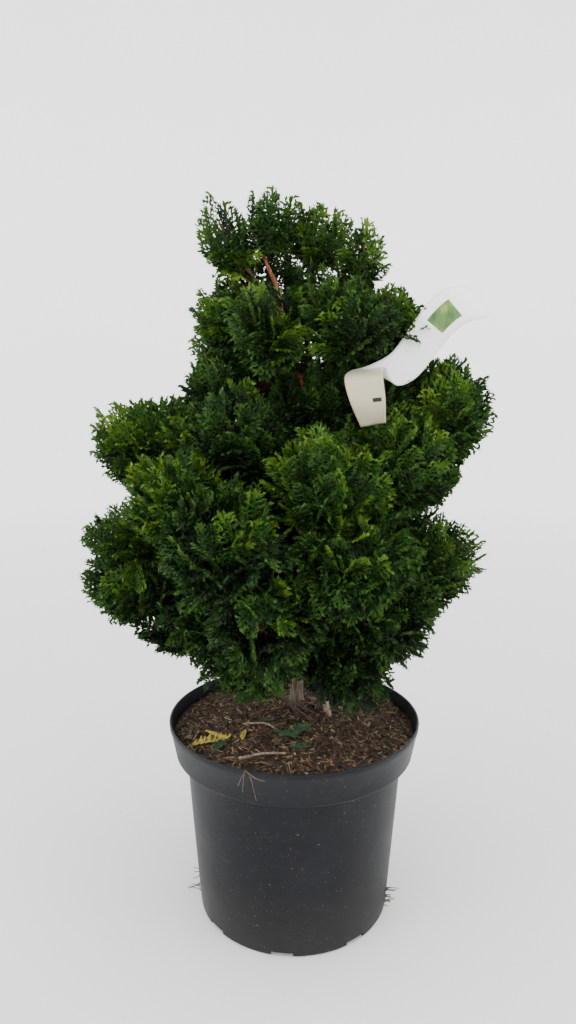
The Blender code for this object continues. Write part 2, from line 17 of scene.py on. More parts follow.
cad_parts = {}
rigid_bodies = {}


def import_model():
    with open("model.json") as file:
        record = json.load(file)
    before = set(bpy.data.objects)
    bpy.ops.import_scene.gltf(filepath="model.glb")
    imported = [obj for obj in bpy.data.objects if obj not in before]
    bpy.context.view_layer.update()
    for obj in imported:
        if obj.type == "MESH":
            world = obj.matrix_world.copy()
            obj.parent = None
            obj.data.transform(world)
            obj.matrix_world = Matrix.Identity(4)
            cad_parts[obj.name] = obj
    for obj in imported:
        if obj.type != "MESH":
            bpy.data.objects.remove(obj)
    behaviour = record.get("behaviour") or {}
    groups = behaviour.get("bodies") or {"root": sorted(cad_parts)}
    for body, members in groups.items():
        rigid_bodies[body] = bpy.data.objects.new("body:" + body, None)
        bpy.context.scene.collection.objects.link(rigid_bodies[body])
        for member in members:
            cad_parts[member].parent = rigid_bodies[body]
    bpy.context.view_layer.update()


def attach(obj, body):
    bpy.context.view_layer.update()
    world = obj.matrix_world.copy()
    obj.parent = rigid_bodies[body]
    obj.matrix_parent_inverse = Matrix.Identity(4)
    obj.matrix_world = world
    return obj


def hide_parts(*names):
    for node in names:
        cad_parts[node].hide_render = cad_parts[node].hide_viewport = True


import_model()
SEED = 7

# Camera: its place, pitch and roll, and a focal length in pixels of the photograph's 1024 pixel height
CAMERA_PLACE = (-0.0072, -0.743, 0.541)
CAMERA_PITCH = math.radians(90 - 9.61)
CAMERA_ROLL = math.radians(-0.15)
FOCAL_PIXELS = 760.0
PHOTO_HEIGHT = 1024.0
SENSOR = 36.0
NEAREST_SEEN = 0.01

# Floor and backdrop. The glow grows with distance, between two shares of the radius.
STAGE_RADIUS = 4.0
STAGE_CURVE = 1.4
STAGE_HEIGHT = 5.0
STAGE_FLAT_RADII = (0.4, 1.2)
STAGE_SEGMENTS = 96
STAGE_GLOW = 0.86
STAGE_GLOW_COLOUR = (0.92, 0.935, 0.935)
STAGE_GLOW_SPAN = (0.12, 0.70)

# Lamps: name, place, target, size and power
LAMPS = (
    ("overhead", (0.0, -0.35, 2.1), (0.0, 0.0, 0.3), (1.8, 1.2), 34.0),
    ("left", (-1.6, -1.0, 1.3), (0.0, 0.0, 0.4), (0.9, 1.4), 9.0),
    ("right", (1.7, -0.8, 1.2), (0.0, 0.0, 0.4), (0.9, 1.4), 6.0),
)
SURROUND_COLOUR = (0.92, 0.95, 1.0, 1.0)
SURROUND_STRENGTH = 0.38

# Pot
POT_HEIGHT = 0.204
RIM_RADIUS = 0.128
RIM_EDGE = 0.0014
# Inset and drop of the points just under the rim's edge, and under the band's foot
RIM_UNDERCUT = ((0.0004, 0.004), (0.0012, 0.005))
UNDER_BAND = ((0.0, 0.0), (0.0005, 0.002))
BAND_FOOT_RADIUS = 0.1218
BAND_FOOT_HEIGHT = 0.1685
BAND_CORNER = 0.003
BODY_TOP_RADIUS = 0.1112
BASE_RADIUS = 0.0985
BASE_CORNER = 0.003
POT_WALL = 0.0022
POT_FLOOR = 0.003
BODY_HEIGHTS = (0.12, 0.08, 0.04, 0.016)
POT_SEGMENTS = 180
SHARP_ANGLE = math.radians(35)
SLOT_COUNT = 8
SLOT_FIRST_AZIMUTH = math.radians(-97)
SLOT_SIZE = (0.022, 0.022, 0.0096)

# Soil
SOIL_EDGE_HEIGHT = 0.190
SOIL_MOUND_HEIGHT = 0.199
SOIL_FLAT_RADIUS = 0.042
SOIL_RADIUS = 0.1232
SOIL_LUMP = 0.00064
SOIL_FADE = 0.01
SOIL_RINGS = 70
SOIL_SECTORS = 180
# The foot of the skirt down the wall: its share of the radius, and its height
SOIL_FOOT = (0.985, 0.176)

# Mulch: bark chips and pale strands. A pair is the least and the most of a measure, but the mean
# and the spread for a chip's tone.
CHIP_COUNT = 5200
CHIP_SHORTEST = 0.0032
CHIP_SPREAD = 0.0024
CHIP_LONGEST = 0.013
CHIP_WIDTHS = (0.0010, 0.0026)
CHIP_DEPTHS = (0.0006, 0.0014)
CHIP_TONE = (0.45, 0.24)
CHIP_PALEST = 0.95
CHIP_PULL = 0.35
CHIP_THIN_END = (0.2, 0.9)
CHIP_PITCH = 0.30
CHIP_BANK = 0.5
STRAND_COUNT = 420
STRAND_LENGTHS = (0.007, 0.016)
STRAND_WIDTHS = (0.0006, 0.0011)
STRAND_DEPTH = 0.0005
STRAND_TONES = (0.72, 1.0)
MULCH_EDGE = 0.004
MULCH_INSET = 0.99
MULCH_LIFT = 0.0022

# Pieces of litter with the name and two colours of their looks
LITTER_LOOKS = (
    ("yellow_sprigs", "yellowed_sprig", (0.34, 0.25, 0.03), (0.62, 0.50, 0.10)),
    ("green_sprigs", "fallen_sprig", (0.012, 0.050, 0.014), (0.030, 0.100, 0.030)),
    ("dry_twigs", "dry_twig", (0.12, 0.075, 0.05), (0.36, 0.27, 0.20)),
    ("rootlets", "rootlet", (0.035, 0.020, 0.014), (0.14, 0.095, 0.070)),
)
# Fallen sprigs: place, turn in degrees and length
YELLOW_SPRIGS = ((-0.104, -0.052, 10, 0.040), (-0.066, -0.046, 150, 0.024), (-0.052, -0.052, 80, 0.018))
GREEN_SPRIGS = ((-0.010, -0.046, 30, 0.030), (0.006, -0.050, 160, 0.026), (-0.006, -0.064, -20, 0.020),
                (-0.078, -0.066, 60, 0.020), (-0.020, -0.016, 200, 0.016))
YELLOW_WIDTH = 0.45
GREEN_WIDTH = 0.8
SPRIG_SLOPES = (0.05, 0.10)
SPRIG_LIFT = 0.0045
# Dry twigs and the cut stub: places with their height over the soil, and radii at the ends
DRY_TWIGS = (
    (((-0.052, -0.083, 0.004), (-0.030, -0.078, 0.005), (-0.008, -0.079, 0.004)), (0.0016, 0.0009)),
    (((-0.050, -0.020, 0.004), (-0.030, -0.024, 0.004), (-0.018, -0.034, 0.003)), (0.0012, 0.0007)),
)
STUB = ((0.036, 0.006, -0.004), (0.034, 0.004, 0.010), (0.031, 0.002, 0.020))
STUB_RADII = (0.0042, 0.0030)
STUB_STEPS = 8
STUB_SIDES = 14
STUB_RELIEF = (0.06, 2.0)
# The rootlet over the rim: where it starts and crosses, and how far aside and down its ends hang
ROOTLET_START = (-0.046, -0.104, 0.003)
ROOTLET_CROSSING = (-0.044, -0.121, POT_HEIGHT + 0.0008)
ROOTLET_OVER = (-0.008, -0.003)
ROOTLET_OUT = -0.0085
ROOTLET_ENDS = ((-0.006, 0.010), (0.010, 0.024), (-0.002, 0.016), (0.018, 0.006))
ROOTLET_RADII = (0.0005, 0.0003)
FINE_SIDES = 5
FINE_STEPS = 6
# Roots round the trunk's foot, and tufts on the pot's foot beside two slots: azimuth and count
FOOT_ROOTS = 26
FOOT_CENTRE = (0.003, 0.026)
FOOT_REACH = (0.014, 0.034)
FOOT_BEND = 0.5
FOOT_LIFTS = (0.006, (0.003, 0.010), 0.001)
FOOT_RADII = (0.0010, 0.0004)
TUFTS = ((-176, 7), (-18, 16))
TUFT_SPREAD = 5
TUFT_START = 0.001
TUFT_HEIGHTS = (0.006, 0.026)
TUFT_SCATTER = (0.3, 0.3, 0.6)
TUFT_LENGTHS = (0.006, 0.015)
TUFT_LOWEST = 0.002
TUFT_BEND = 0.003
TUFT_RADII = (0.0006, 0.0003)

# Trunk: key points of its centre line, with the radius there
TRUNK_KEYS = (
    ((0.003, 0.026, 0.196), 0.0098),
    ((0.003, 0.026, 0.207), 0.0074),
    ((0.004, 0.022, 0.240), 0.0066),
    ((0.010, 0.012, 0.300), 0.0060),
    ((0.026, -0.008, 0.380), 0.0052),
    ((0.044, -0.024, 0.440), 0.0044),
    ((0.050, -0.030, 0.478), 0.0038),
    ((0.036, -0.030, 0.498), 0.0035),
    ((0.010, -0.028, 0.534), 0.0031),
    ((-0.009, -0.018, 0.585), 0.0026),
    ((-0.015, -0.009, 0.622), 0.0021),
    ((-0.026, -0.002, 0.648), 0.0017),
    ((-0.031, 0.001, 0.660), 0.0014),
)
TRUNK_STEPS = 16
TRUNK_SIDES = 28
FLARE_RIDGES = 4
FLARE_DEPTH = 0.20
FLARE_TOP = 0.214
TRUNK_RELIEF = (0.035, 1.0)
BOUGH_ROOT_RADIUS = 0.0034
BOUGH_TIP_RADIUS = 0.0017
BOUGH_TRUNK_SHARE = 0.85
BOUGH_HANDLE = 0.5
BOUGH_RELIEF = 0.04
BOUGH_POINTS = 28
BOUGH_SIDES = 12

# Masses of foliage, as in the model: the space of each, the slope of its growth, the height at
# which its bough or stem leaves the trunk, and its tone, from 0 for dark to 3 for yellow-green. The
# tone is partly the foliage's own colour and partly painted light and shade: the low and inner
# masses are darker, the top and outer ones lighter.
Mass = namedtuple("Mass", "name centre rise half_sizes leaves has_bough tone")
MASSES = (
    Mass("top_left", (-0.060, 0.000, 0.668), 60, (0.048, 0.036, 0.028), 0.606, False, 2.2),
    Mass("top_tip", (-0.020, 0.004, 0.686), 84, (0.040, 0.032, 0.030), None, False, 1.9),
    Mass("top_right", (0.022, 0.018, 0.676), 75, (0.042, 0.038, 0.036), 0.505, True, 2.2),
    Mass("top_centre", (0.028, 0.004, 0.626), 60, (0.038, 0.038, 0.036), 0.585, False, 1.5),
    Mass("right_spike", (0.060, -0.018, 0.648), 80, (0.044, 0.024, 0.022), 0.526, False, 2.0),
    Mass("left_upper", (-0.060, -0.004, 0.602), 35, (0.038, 0.044, 0.042), 0.566, False, 1.6),
    Mass("upper_centre", (-0.018, -0.048, 0.588), 60, (0.050, 0.040, 0.040), 0.552, False, 1.9),
    Mass("upper_right", (0.046, -0.056, 0.592), 20, (0.048, 0.048, 0.040), 0.546, True, 1.7),
    Mass("upper_right_tip", (0.088, -0.014, 0.594), 30, (0.044, 0.042, 0.036), 0.522, False, 1.6),
    Mass("left_small", (-0.074, -0.004, 0.532), 40, (0.036, 0.040, 0.034), 0.500, False, 1.3),
    Mass("left_shoulder_outer", (-0.152, 0.004, 0.482), 30, (0.048, 0.050, 0.048), 0.400, True, 2.4),
    Mass("left_shoulder_inner", (-0.098, -0.012, 0.486), 30, (0.044, 0.048, 0.046), 0.430, False, 1.9),
    Mass("left_bright", (-0.102, -0.083, 0.439), 20, (0.050, 0.052, 0.048), 0.366, True, 2.0),
    Mass("left_tip", (-0.158, -0.004, 0.386), 6, (0.050, 0.046, 0.032), 0.340, True, 1.9),
    Mass("left_low", (-0.150, -0.022, 0.346), 0, (0.056, 0.054, 0.040), 0.306, True, 1.6),
    Mass("low_left_fringe", (-0.090, -0.044, 0.324), -10, (0.056, 0.058, 0.046), 0.316, False, 1.1),
    Mass("front_left", (-0.062, -0.118, 0.404), 10, (0.052, 0.060, 0.058), 0.352, True, 1.3),
    Mass("front_centre_left", (-0.024, -0.120, 0.346), -10, (0.052, 0.058, 0.056), 0.264, True, 1.3),
    Mass("bottom_left", (-0.040, -0.056, 0.288), -25, (0.052, 0.056, 0.038), 0.248, False, 1.1),
    Mass("centre_left", (-0.046, -0.048, 0.484), 40, (0.060, 0.058, 0.060), 0.415, False, 1.0),
    Mass("centre", (-0.016, -0.052, 0.414), 20, (0.054, 0.060, 0.050), 0.394, False, 0.9),
    Mass("front_right_plume", (0.028, -0.096, 0.450), 45, (0.066, 0.052, 0.052), 0.378, True, 2.0),
    Mass("right_plume_outer", (0.134, -0.014, 0.498), 68, (0.078, 0.050, 0.044), 0.425, True, 2.0),
    Mass("right_mid", (0.090, -0.064, 0.466), 40, (0.058, 0.056, 0.054), 0.400, True, 1.6),
    Mass("right_lower_front", (0.050, -0.118, 0.394), 5, (0.052, 0.058, 0.056), 0.322, True, 1.6),
    Mass("right_low_outer", (0.124, -0.006, 0.366), 15, (0.056, 0.058, 0.052), 0.312, True, 1.4),
    Mass("right_low_front", (0.080, -0.080, 0.336), -5, (0.052, 0.054, 0.048), 0.294, True, 1.3),
    Mass("bottom_right", (0.044, -0.064, 0.284), -20, (0.050, 0.052, 0.038), 0.238, False, 1.2),
    Mass("back_top", (-0.022, 0.044, 0.636), 60, (0.052, 0.050, 0.040), 0.615, False, 1.5),
    Mass("back_upper_left", (-0.050, 0.048, 0.560), 40, (0.058, 0.058, 0.054), 0.525, False, 1.4),
    Mass("back_upper_right", (0.076, 0.040, 0.554), 45, (0.064, 0.060, 0.056), 0.480, False, 1.5),
    Mass("back_left", (-0.102, 0.064, 0.460), 30, (0.060, 0.062, 0.060), 0.385, True, 1.7),
    Mass("back_centre", (0.000, 0.076, 0.482), 35, (0.062, 0.064, 0.064), 0.410, False, 1.4),
    Mass("back_right", (0.100, 0.066, 0.456), 30, (0.062, 0.062, 0.062), 0.368, True, 1.7),
    Mass("back_low_left", (-0.096, 0.070, 0.358), 10, (0.060, 0.064, 0.058), 0.290, True, 1.3),
    Mass("back_low_centre", (0.002, 0.088, 0.364), 5, (0.054, 0.066, 0.066), 0.302, False, 1.3),
    Mass("back_low_right", (0.092, 0.076, 0.352), 10, (0.060, 0.064, 0.058), 0.278, True, 1.4),
    Mass("bottom_back", (0.000, 0.076, 0.290), -20, (0.052, 0.066, 0.040), 0.250, False, 1.1),
)
# Inner growth between the masses, on short stems from the trunk, with low tones that are painted shade
INNER_GROWTH = (
    Mass("inner_middle", (0.012, -0.022, 0.524), 50, (0.050, 0.040, 0.040), 0.492, False, 1.0),
    Mass("inner_right", (0.070, -0.026, 0.524), 40, (0.046, 0.040, 0.036), 0.484, False, 0.9),
    Mass("inner_low", (0.030, -0.040, 0.480), 30, (0.046, 0.040, 0.036), 0.440, False, 0.8),
)
# Masses with fewer sprays
AIRY = ("top_tip", "top_right", "right_spike", "top_left", "back_top", "top_centre")

# Growth inside a mass
GOLDEN_ANGLE = math.radians(137.5)
STEM_ROOT_RADIUS = 0.0019
STEM_TIP_RADIUS = 0.0010
STEM_ENTRY = 0.75
STEM_REACH = 0.50
STEM_BEND = 0.015
STEM_POINTS = 8
LONG_STEM_POINTS = 10
STEM_SIDES = 6
TWIG_ROOT_RADIUS = 0.0008
TWIG_TIP_RADIUS = 0.0005
TWIG_POINTS = 4
TWIG_SIDES = 3
TWIG_STARTS = (0.15, 0.8)
TWIG_SAG = 0.004
AREA_POWER = 1.6
REARMOST_SITE = -0.80
# Shells of growth: how far out their sprays end, sprays for each square metre of skin, and how
# much darker they are painted, as shade inside the crown
Shell = namedtuple("Shell", "reach density darker")
SHELLS = (Shell(1.0, 3500, 0.0), Shell(0.80, 1700, 1.2))
AIRY_SHARE = 0.40
# Plumes: the sprays of a mass stand in this many tufts, with valleys between them
PLUMES = 8
PLUME_RADIUS = 0.70
PLUME_VALLEY = 0.26
PLUME_HEIGHT = (0.90, 1.10)
PLUME_SCATTER = 0.18
PLUME_FOOT = 1.2
PLUME_SPREAD_OF_TONE = 0.35
# The tone of a spray: what it gains over its mass's, its spread, and the painted light that facing up
# adds
TONE_GAIN = 0.5
TONE_SPREAD = 0.45
PAINTED_LIGHT_UPWARD = 0.5
TIPPED_FROM = (0.42, 0.58)
SPRAY_LENGTH = 0.044
SPRAY_LENGTHS = (0.75, 1.15)
SPRAY_BODY = 0.97
# Shares of a spray's direction: outwards, along its plume and along the skin. Leaders stand out.
Lean = namedtuple("Lean", "outward plume skin")
RESTING = Lean(0.62, 0.22, 0.66)
LEADING = Lean(0.85, 0.20, 0.50)
LEADER_SHARE = 0.34
LEADER_REACH = 0.10
SPRAY_JITTER = 0.45
SPRAY_ROLL = math.radians(65)
SPRAY_SINK = 0.16
# Growth follows its mass's direction by a share, turns up on ascending masses and hangs a little
# on drooping ones
ALONG_SHARE = 0.5
LEVEL_LIFT = 0.35
LIFT_SLOPE = 45.0
# Below 0, a site may reach a little into a neighbour's space
CELL_MARGIN = -0.03
# Heights between which sprays in front of the trunk are left out, and half the width of the gap
OPEN_STRETCHES = ((0.490, 0.540, 0.0035), (0.600, 0.652, 0.005))

# A spray of scale leaves, in spray lengths
TEMPLATES = 8
BRANCHLETS = 8
BRANCHLET_ANGLE = math.radians(48)
BRANCHLET_LENGTH = 0.50
BRANCHLET_TAPER = 0.55
BRANCHLET_LENGTHS = (0.85, 1.12)
BRANCHLET_CLOSING = 0.25
BRANCHLET_TURN = 0.10
BRANCHLET_STAGGER = 0.035
END_BRANCH = (0.80, 0.20)
# Scales on a branchlet's own middle line: start, length and width, as shares
MIDDLE_SCALES = ((0.0, 0.55, 0.8), (0.5, 0.62, 1.0))
RACHIS_SCALE = (0.24, 0.9)
LEAF_STEP = 0.080
LEAF_ANGLE = math.radians(38)
LEAF_LENGTH = 0.135
LEAF_WIDTH = 0.052
LEAF_TAPER = 0.30
LEAF_TURN = 0.14
LEAF_LENGTHS = (0.8, 1.15)
LEAF_WIDEST = 0.55
LEAF_FOLD = 0.010
LEAF_TILT = 0.030
LEAF_TIP_LIFT = (-0.02, 0.06)
CUP = 0.55
CURL = 0.16
# How far out a scale lies is counted from this place on the midrib, with its width stretched
OUTER_FROM = 0.35
OUTER_STRETCH = 1.25

# Greens from the darkest, painted shade for the inside, to the young tips
GREENS = (
    (0.0015, 0.005, 0.0013),
    (0.0045, 0.015, 0.002),
    (0.010, 0.034, 0.0035),
    (0.024, 0.064, 0.005),
    (0.054, 0.115, 0.007),
    (0.102, 0.178, 0.013),
)
LEAF_ROUGHNESS = 0.60
LEAF_GLOSS = 0.22
PIECE_TRIANGLES = 190000


class Sum:
    """A shader value that arithmetic can be written with."""

    def __init__(self, tree, socket):
        self.tree = tree
        self.socket = socket

    def join(self, operation, other):
        node = self.tree.nodes.new("ShaderNodeMath")
        node.operation = operation
        self.tree.links.new(self.socket, node.inputs[0])
        if isinstance(other, Sum):
            self.tree.links.new(other.socket, node.inputs[1])
        else:
            node.inputs[1].default_value = other
        return Sum(self.tree, node.outputs[0])

    def __add__(self, other):
        return self.join("ADD", other)

    def __mul__(self, other):
        return self.join("MULTIPLY", other)


class Finish:
    """A Principled material and the nodes that vary it over the surface."""

    def __init__(self, name, roughness):
        self.material = bpy.data.materials.new(name)
        self.material.use_nodes = True
        self.tree = self.material.node_tree
        self.shader = self.tree.nodes["Principled BSDF"]
        self.shader.inputs["Roughness"].default_value = roughness
        self.place = self.node("ShaderNodeTexCoord").outputs["Object"]

    def node(self, kind, settings=None, inputs=None):
        """A new node with its settings and its inputs, which are values or sockets."""
        node = self.tree.nodes.new(kind)
        for key, value in (settings or {}).items():
            setattr(node, key, value)
        for key, value in (inputs or {}).items():
            if isinstance(value, Sum):
                self.tree.links.new(value.socket, node.inputs[key])
            elif isinstance(value, bpy.types.NodeSocket):
                self.tree.links.new(value, node.inputs[key])
            else:
                node.inputs[key].default_value = value
        return node

    def mottle(self, scale, detail=4.0, stretch=(1.0, 1.0, 1.0)):
        """Soft noise over the piece."""
        inputs = {"Vector": self.place, "Scale": stretch}
        stretched = self.node("ShaderNodeMapping", inputs=inputs).outputs["Vector"]
        inputs = {"Vector": stretched, "Scale": scale, "Detail": detail}
        return Sum(self.tree, self.node("ShaderNodeTexNoise", inputs=inputs).outputs["Fac"])

    def along(self, axis):
        """The place on an axis, X, Y or Z."""
        return self.node("ShaderNodeSeparateXYZ", inputs={"Vector": self.place}).outputs[axis]

    def ramp(self, value, stops):
        """A colour that changes with a value: stops are (position, colour)."""
        node = self.node("ShaderNodeValToRGB", inputs={"Fac": value})
        elements = node.color_ramp.elements
        while len(elements) < len(stops):
            elements.new(0.5)
        for element, (position, colour) in zip(elements, stops):
            element.position = position
            element.color = (*colour, 1.0)
        return node.outputs["Color"]

    def mask(self, value, start, end, first=0.0):
        """A grey that goes from first, 0 or 1, at the start to the other one at the end."""
        last = 1.0 - first
        return Sum(self.tree, self.ramp(value, [(start, (first,) * 3), (end, (last,) * 3)]))

    def attribute(self, name):
        node = self.node("ShaderNodeAttribute", {"attribute_name": name})
        return Sum(self.tree, node.outputs["Fac"])

    def blend(self, factor, first, second):
        """The first colour where the factor is 0 and the second where it is 1."""
        node = self.node("ShaderNodeMix", {"data_type": "RGBA"}, {0: factor})
        for socket, colour in ((node.inputs[6], first), (node.inputs[7], second)):
            if isinstance(colour, bpy.types.NodeSocket):
                self.tree.links.new(colour, socket)
            else:
                socket.default_value = (*colour, 1.0)
        return node.outputs[2]

    def colour(self, socket):
        self.tree.links.new(socket, self.shader.inputs["Base Color"])

    def roughness(self, value):
        self.tree.links.new(value.socket, self.shader.inputs["Roughness"])

    def bump(self, height, distance, strength=1.0):
        inputs = {"Height": height, "Distance": distance, "Strength": strength}
        node = self.node("ShaderNodeBump", inputs=inputs)
        self.tree.links.new(node.outputs["Normal"], self.shader.inputs["Normal"])


def pot_finish():
    """Dark moulded plastic with a film of dust, scuffs along its turn and pale specks."""
    finish = Finish("pot_plastic", 0.5)
    film = finish.mask(finish.mottle(9.0, 6.0), 0.42, 0.72)
    foot = finish.mask(finish.along("Z"), 0.0, 0.075, 1.0)
    scuffs = finish.mask(finish.mottle(55.0, 2.0, (1.0, 1.0, 14.0)), 0.66, 0.72)
    specks = finish.mask(finish.mottle(620.0, 1.0), 0.74, 0.77)
    plastic = finish.ramp(finish.mottle(30.0, 5.0),
                          [(0.3, (0.003, 0.0034, 0.005)), (0.7, (0.0045, 0.005, 0.0075))])
    dusty = finish.blend(film * 0.20, plastic, (0.024, 0.023, 0.024))
    earthy = finish.blend(foot * 0.40, dusty, (0.034, 0.030, 0.025))
    scuffed = finish.blend(scuffs * 0.16, earthy, (0.10, 0.10, 0.10))
    finish.colour(finish.blend(specks * 0.6, scuffed, (0.26, 0.22, 0.16)))
    finish.roughness(finish.mottle(14.0, 4.0) * 0.34 + 0.30)
    finish.shader.inputs["Specular IOR Level"].default_value = 0.17
    finish.bump(finish.mottle(900.0, 2.0) * 0.3 + finish.mottle(24.0, 3.0), 0.0004, 0.35)
    return finish.material


def mottled_finish(name, roughness, mottle, stops, relief=None):
    """A material whose colour changes with a mottle. A relief is a scale, detail, height and
    strength."""
    finish = Finish(name, roughness)
    finish.colour(finish.ramp(finish.mottle(*mottle), stops))
    if relief:
        scale, detail, height, strength = relief
        finish.bump(finish.mottle(scale, detail), height, strength)
    return finish.material


def soil_finish():
    """Crumbly dark potting soil under the mulch."""
    return mottled_finish("potting_soil", 0.95, (160.0, 6.0), [
        (0.30, (0.012, 0.007, 0.004)), (0.52, (0.040, 0.023, 0.012)), (0.75, (0.090, 0.058, 0.032)),
    ], (420.0, 4.0, 0.0015, 0.9))


def chip_finish():
    """Bark mulch: each chip has its own brown from its tone attribute, with grain along it."""
    finish = Finish("bark_mulch", 0.88)
    tone = finish.ramp(finish.attribute("tone"), [
        (0.00, (0.016, 0.009, 0.005)), (0.35, (0.050, 0.027, 0.013)), (0.65, (0.125, 0.072, 0.034)),
        (0.88, (0.330, 0.220, 0.125)), (1.00, (0.500, 0.400, 0.260)),
    ])
    grain = finish.mottle(700.0, 3.0)
    finish.colour(finish.blend(grain * 0.7, tone, (0.020, 0.012, 0.008)))
    finish.bump(grain, 0.0005, 0.8)
    return finish.material


def bark_finish():
    """Fibrous reddish-brown bark that turns grey-brown at the foot."""
    finish = Finish("cypress_bark", 0.82)
    fibre = finish.mottle(420.0, 5.0, (1.0, 1.0, 0.14))
    red = finish.ramp(fibre, [
        (0.28, (0.080, 0.022, 0.011)), (0.50, (0.260, 0.080, 0.034)), (0.74, (0.460, 0.190, 0.090)),
    ])
    old = finish.ramp(fibre, [
        (0.28, (0.030, 0.021, 0.015)), (0.50, (0.110, 0.078, 0.055)), (0.74, (0.260, 0.205, 0.155)),
    ])
    young = finish.mask(finish.along("Z"), 0.24, 0.36)
    finish.colour(finish.blend(young, old, red))
    finish.bump(fibre, 0.0007, 0.8)
    return finish.material


def twig_finish():
    """Thin twigs, green-brown with reddish stretches."""
    return mottled_finish("twig_bark", 0.75, (60.0, 3.0), [
        (0.35, (0.028, 0.045, 0.012)), (0.52, (0.075, 0.042, 0.018)), (0.70, (0.150, 0.055, 0.026)),
    ], (800.0, 2.0, 0.0003, 0.5))


def label_finish():
    """Smooth white plastic with a faint mottle, and painted shade in a darker cream low in the loop."""
    finish = Finish("label_plastic", 0.38)
    white = finish.ramp(finish.mottle(22.0, 3.0), [
        (0.30, (0.90, 0.90, 0.88)), (0.70, (0.95, 0.95, 0.93)),
    ])
    # Painted shade: a darker cream where the loop lies in shade
    painted_loop_shade = finish.ramp(finish.mottle(22.0, 3.0), [
        (0.30, (0.45, 0.39, 0.26)), (0.70, (0.53, 0.47, 0.33)),
    ])
    strip = finish.mask(finish.along("Z"), LABEL_LOOP_TOP - 0.002, LABEL_LOOP_TOP)
    beyond = finish.mask(finish.along("X"), LABEL_LOOP_RIGHT, LABEL_LOOP_RIGHT + 0.003)
    finish.colour(finish.blend(beyond, finish.blend(strip, painted_loop_shade, white), white))
    finish.roughness(finish.mottle(60.0, 3.0) * 0.20 + 0.28)
    finish.bump(finish.mottle(500.0, 2.0), 0.0001, 0.2)
    return finish.material


def picture_finish():
    """A plain green patch with soft leafy streaks."""
    return mottled_finish("label_patch", 0.40, (130.0, 4.0, (1.0, 1.0, 0.4)), [
        (0.35, (0.030, 0.085, 0.018)), (0.55, (0.085, 0.190, 0.035)), (0.72, (0.300, 0.330, 0.060)),
    ])


def sprig_finish(name, low, high):
    """Fallen or dead plant matter, or a shaded hole, that varies between two colours."""
    return mottled_finish(name, 0.7, (260.0, 3.0), [(0.3, low), (0.7, high)],
                          (900.0, 2.0, 0.0003, 0.5))


def leaf_finish(index):
    """One plain green of the sprays."""
    material = bpy.data.materials.new(f"leaf_green_{index}")
    material.use_nodes = True
    shader = material.node_tree.nodes["Principled BSDF"]
    shader.inputs["Base Color"].default_value = (*GREENS[index], 1.0)
    shader.inputs["Roughness"].default_value = LEAF_ROUGHNESS
    shader.inputs["Specular IOR Level"].default_value = LEAF_GLOSS
    return material


def new_object(name, data):
    thing = bpy.data.objects.new(name, data)
    bpy.context.scene.collection.objects.link(thing)
    return thing


def new_mesh(name, points, faces, material, smooth):
    """A mesh from whole arrays. faces is a list of arrays of corner numbers, one array for each
    number of corners."""
    points = np.asarray(points, np.float32)
    counts = np.concatenate([np.full(len(group), group.shape[1]) for group in faces if len(group)])
    corners = np.concatenate([group.ravel() for group in faces if len(group)]).astype(np.int32)
    mesh = bpy.data.meshes.new(name)
    mesh.vertices.add(len(points))
    mesh.vertices.foreach_set("co", points.ravel())
    mesh.loops.add(len(corners))
    mesh.loops.foreach_set("vertex_index", corners)
    mesh.polygons.add(len(counts))
    starts = np.concatenate([[0], np.cumsum(counts)[:-1]]).astype(np.int32)
    mesh.polygons.foreach_set("loop_start", starts)
    mesh.polygons.foreach_set("use_smooth", np.full(len(counts), smooth))
    mesh.update(calc_edges=True)
    mesh.materials.append(material)
    return mesh


def add_piece(name, points, faces, material, nodes, smooth=False, tones=None):
    """A mesh that is fastened to the frame and takes the place of nodes."""
    mesh = new_mesh(name, points, faces, material, smooth)
    if tones is not None:
        attribute = mesh.attributes.new("tone", "FLOAT", "POINT")
        attribute.data.foreach_set("value", np.asarray(tones, np.float32))
    piece = new_object(name, mesh)
    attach(piece, "root")
    if nodes:
        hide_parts(*nodes)
    return piece


class Heap:
    """Points and faces of many small shapes that become one mesh."""

    def __init__(self):
        self.points = []
        self.triangles = []
        self.quads = []
        self.tones = []
        self.count = 0

    def add(self, points, triangles=(), quads=(), tone=0.0):
        self.points.append(np.asarray(points, float))
        if len(triangles):
            self.triangles.append(np.asarray(triangles) + self.count)
        if len(quads):
            self.quads.append(np.asarray(quads) + self.count)
        self.tones.append(np.full(len(points), tone))
        self.count += len(points)

    def piece(self, name, material, slot, nodes=(), smooth=False):
        faces = []
        if self.triangles:
            faces.append(np.concatenate(self.triangles))
        if self.quads:
            faces.append(np.concatenate(self.quads))
        return add_piece(name, np.concatenate(self.points), faces, material, nodes, smooth,
                         np.concatenate(self.tones))


def smooth_path(keys, steps):
    """A Catmull-Rom curve through key vectors, with so many steps from each key to the next."""
    keys = np.asarray(keys, float)
    ends = np.vstack([2 * keys[0] - keys[1], keys, 2 * keys[-1] - keys[-2]])
    a, b, c, d = (ends[i:len(ends) - 3 + i, None, :] for i in range(4))
    t = (np.arange(steps) / steps)[None, :, None]
    curve = 0.5 * (2 * b + (c - a) * t + (2 * a - 5 * b + 4 * c - d) * t**2
                   + (3 * b - a - 3 * c + d) * t**3)
    return np.vstack([curve.reshape(-1, keys.shape[1]), keys[-1]])


def bent_path(start, handle, end, count):
    """A quadratic curve from start to end that leaves and arrives through the handle."""
    t = np.linspace(0, 1, count)[:, None]
    return (1 - t) ** 2 * np.array(start) + 2 * t * (1 - t) * np.array(handle) + t**2 * np.array(end)


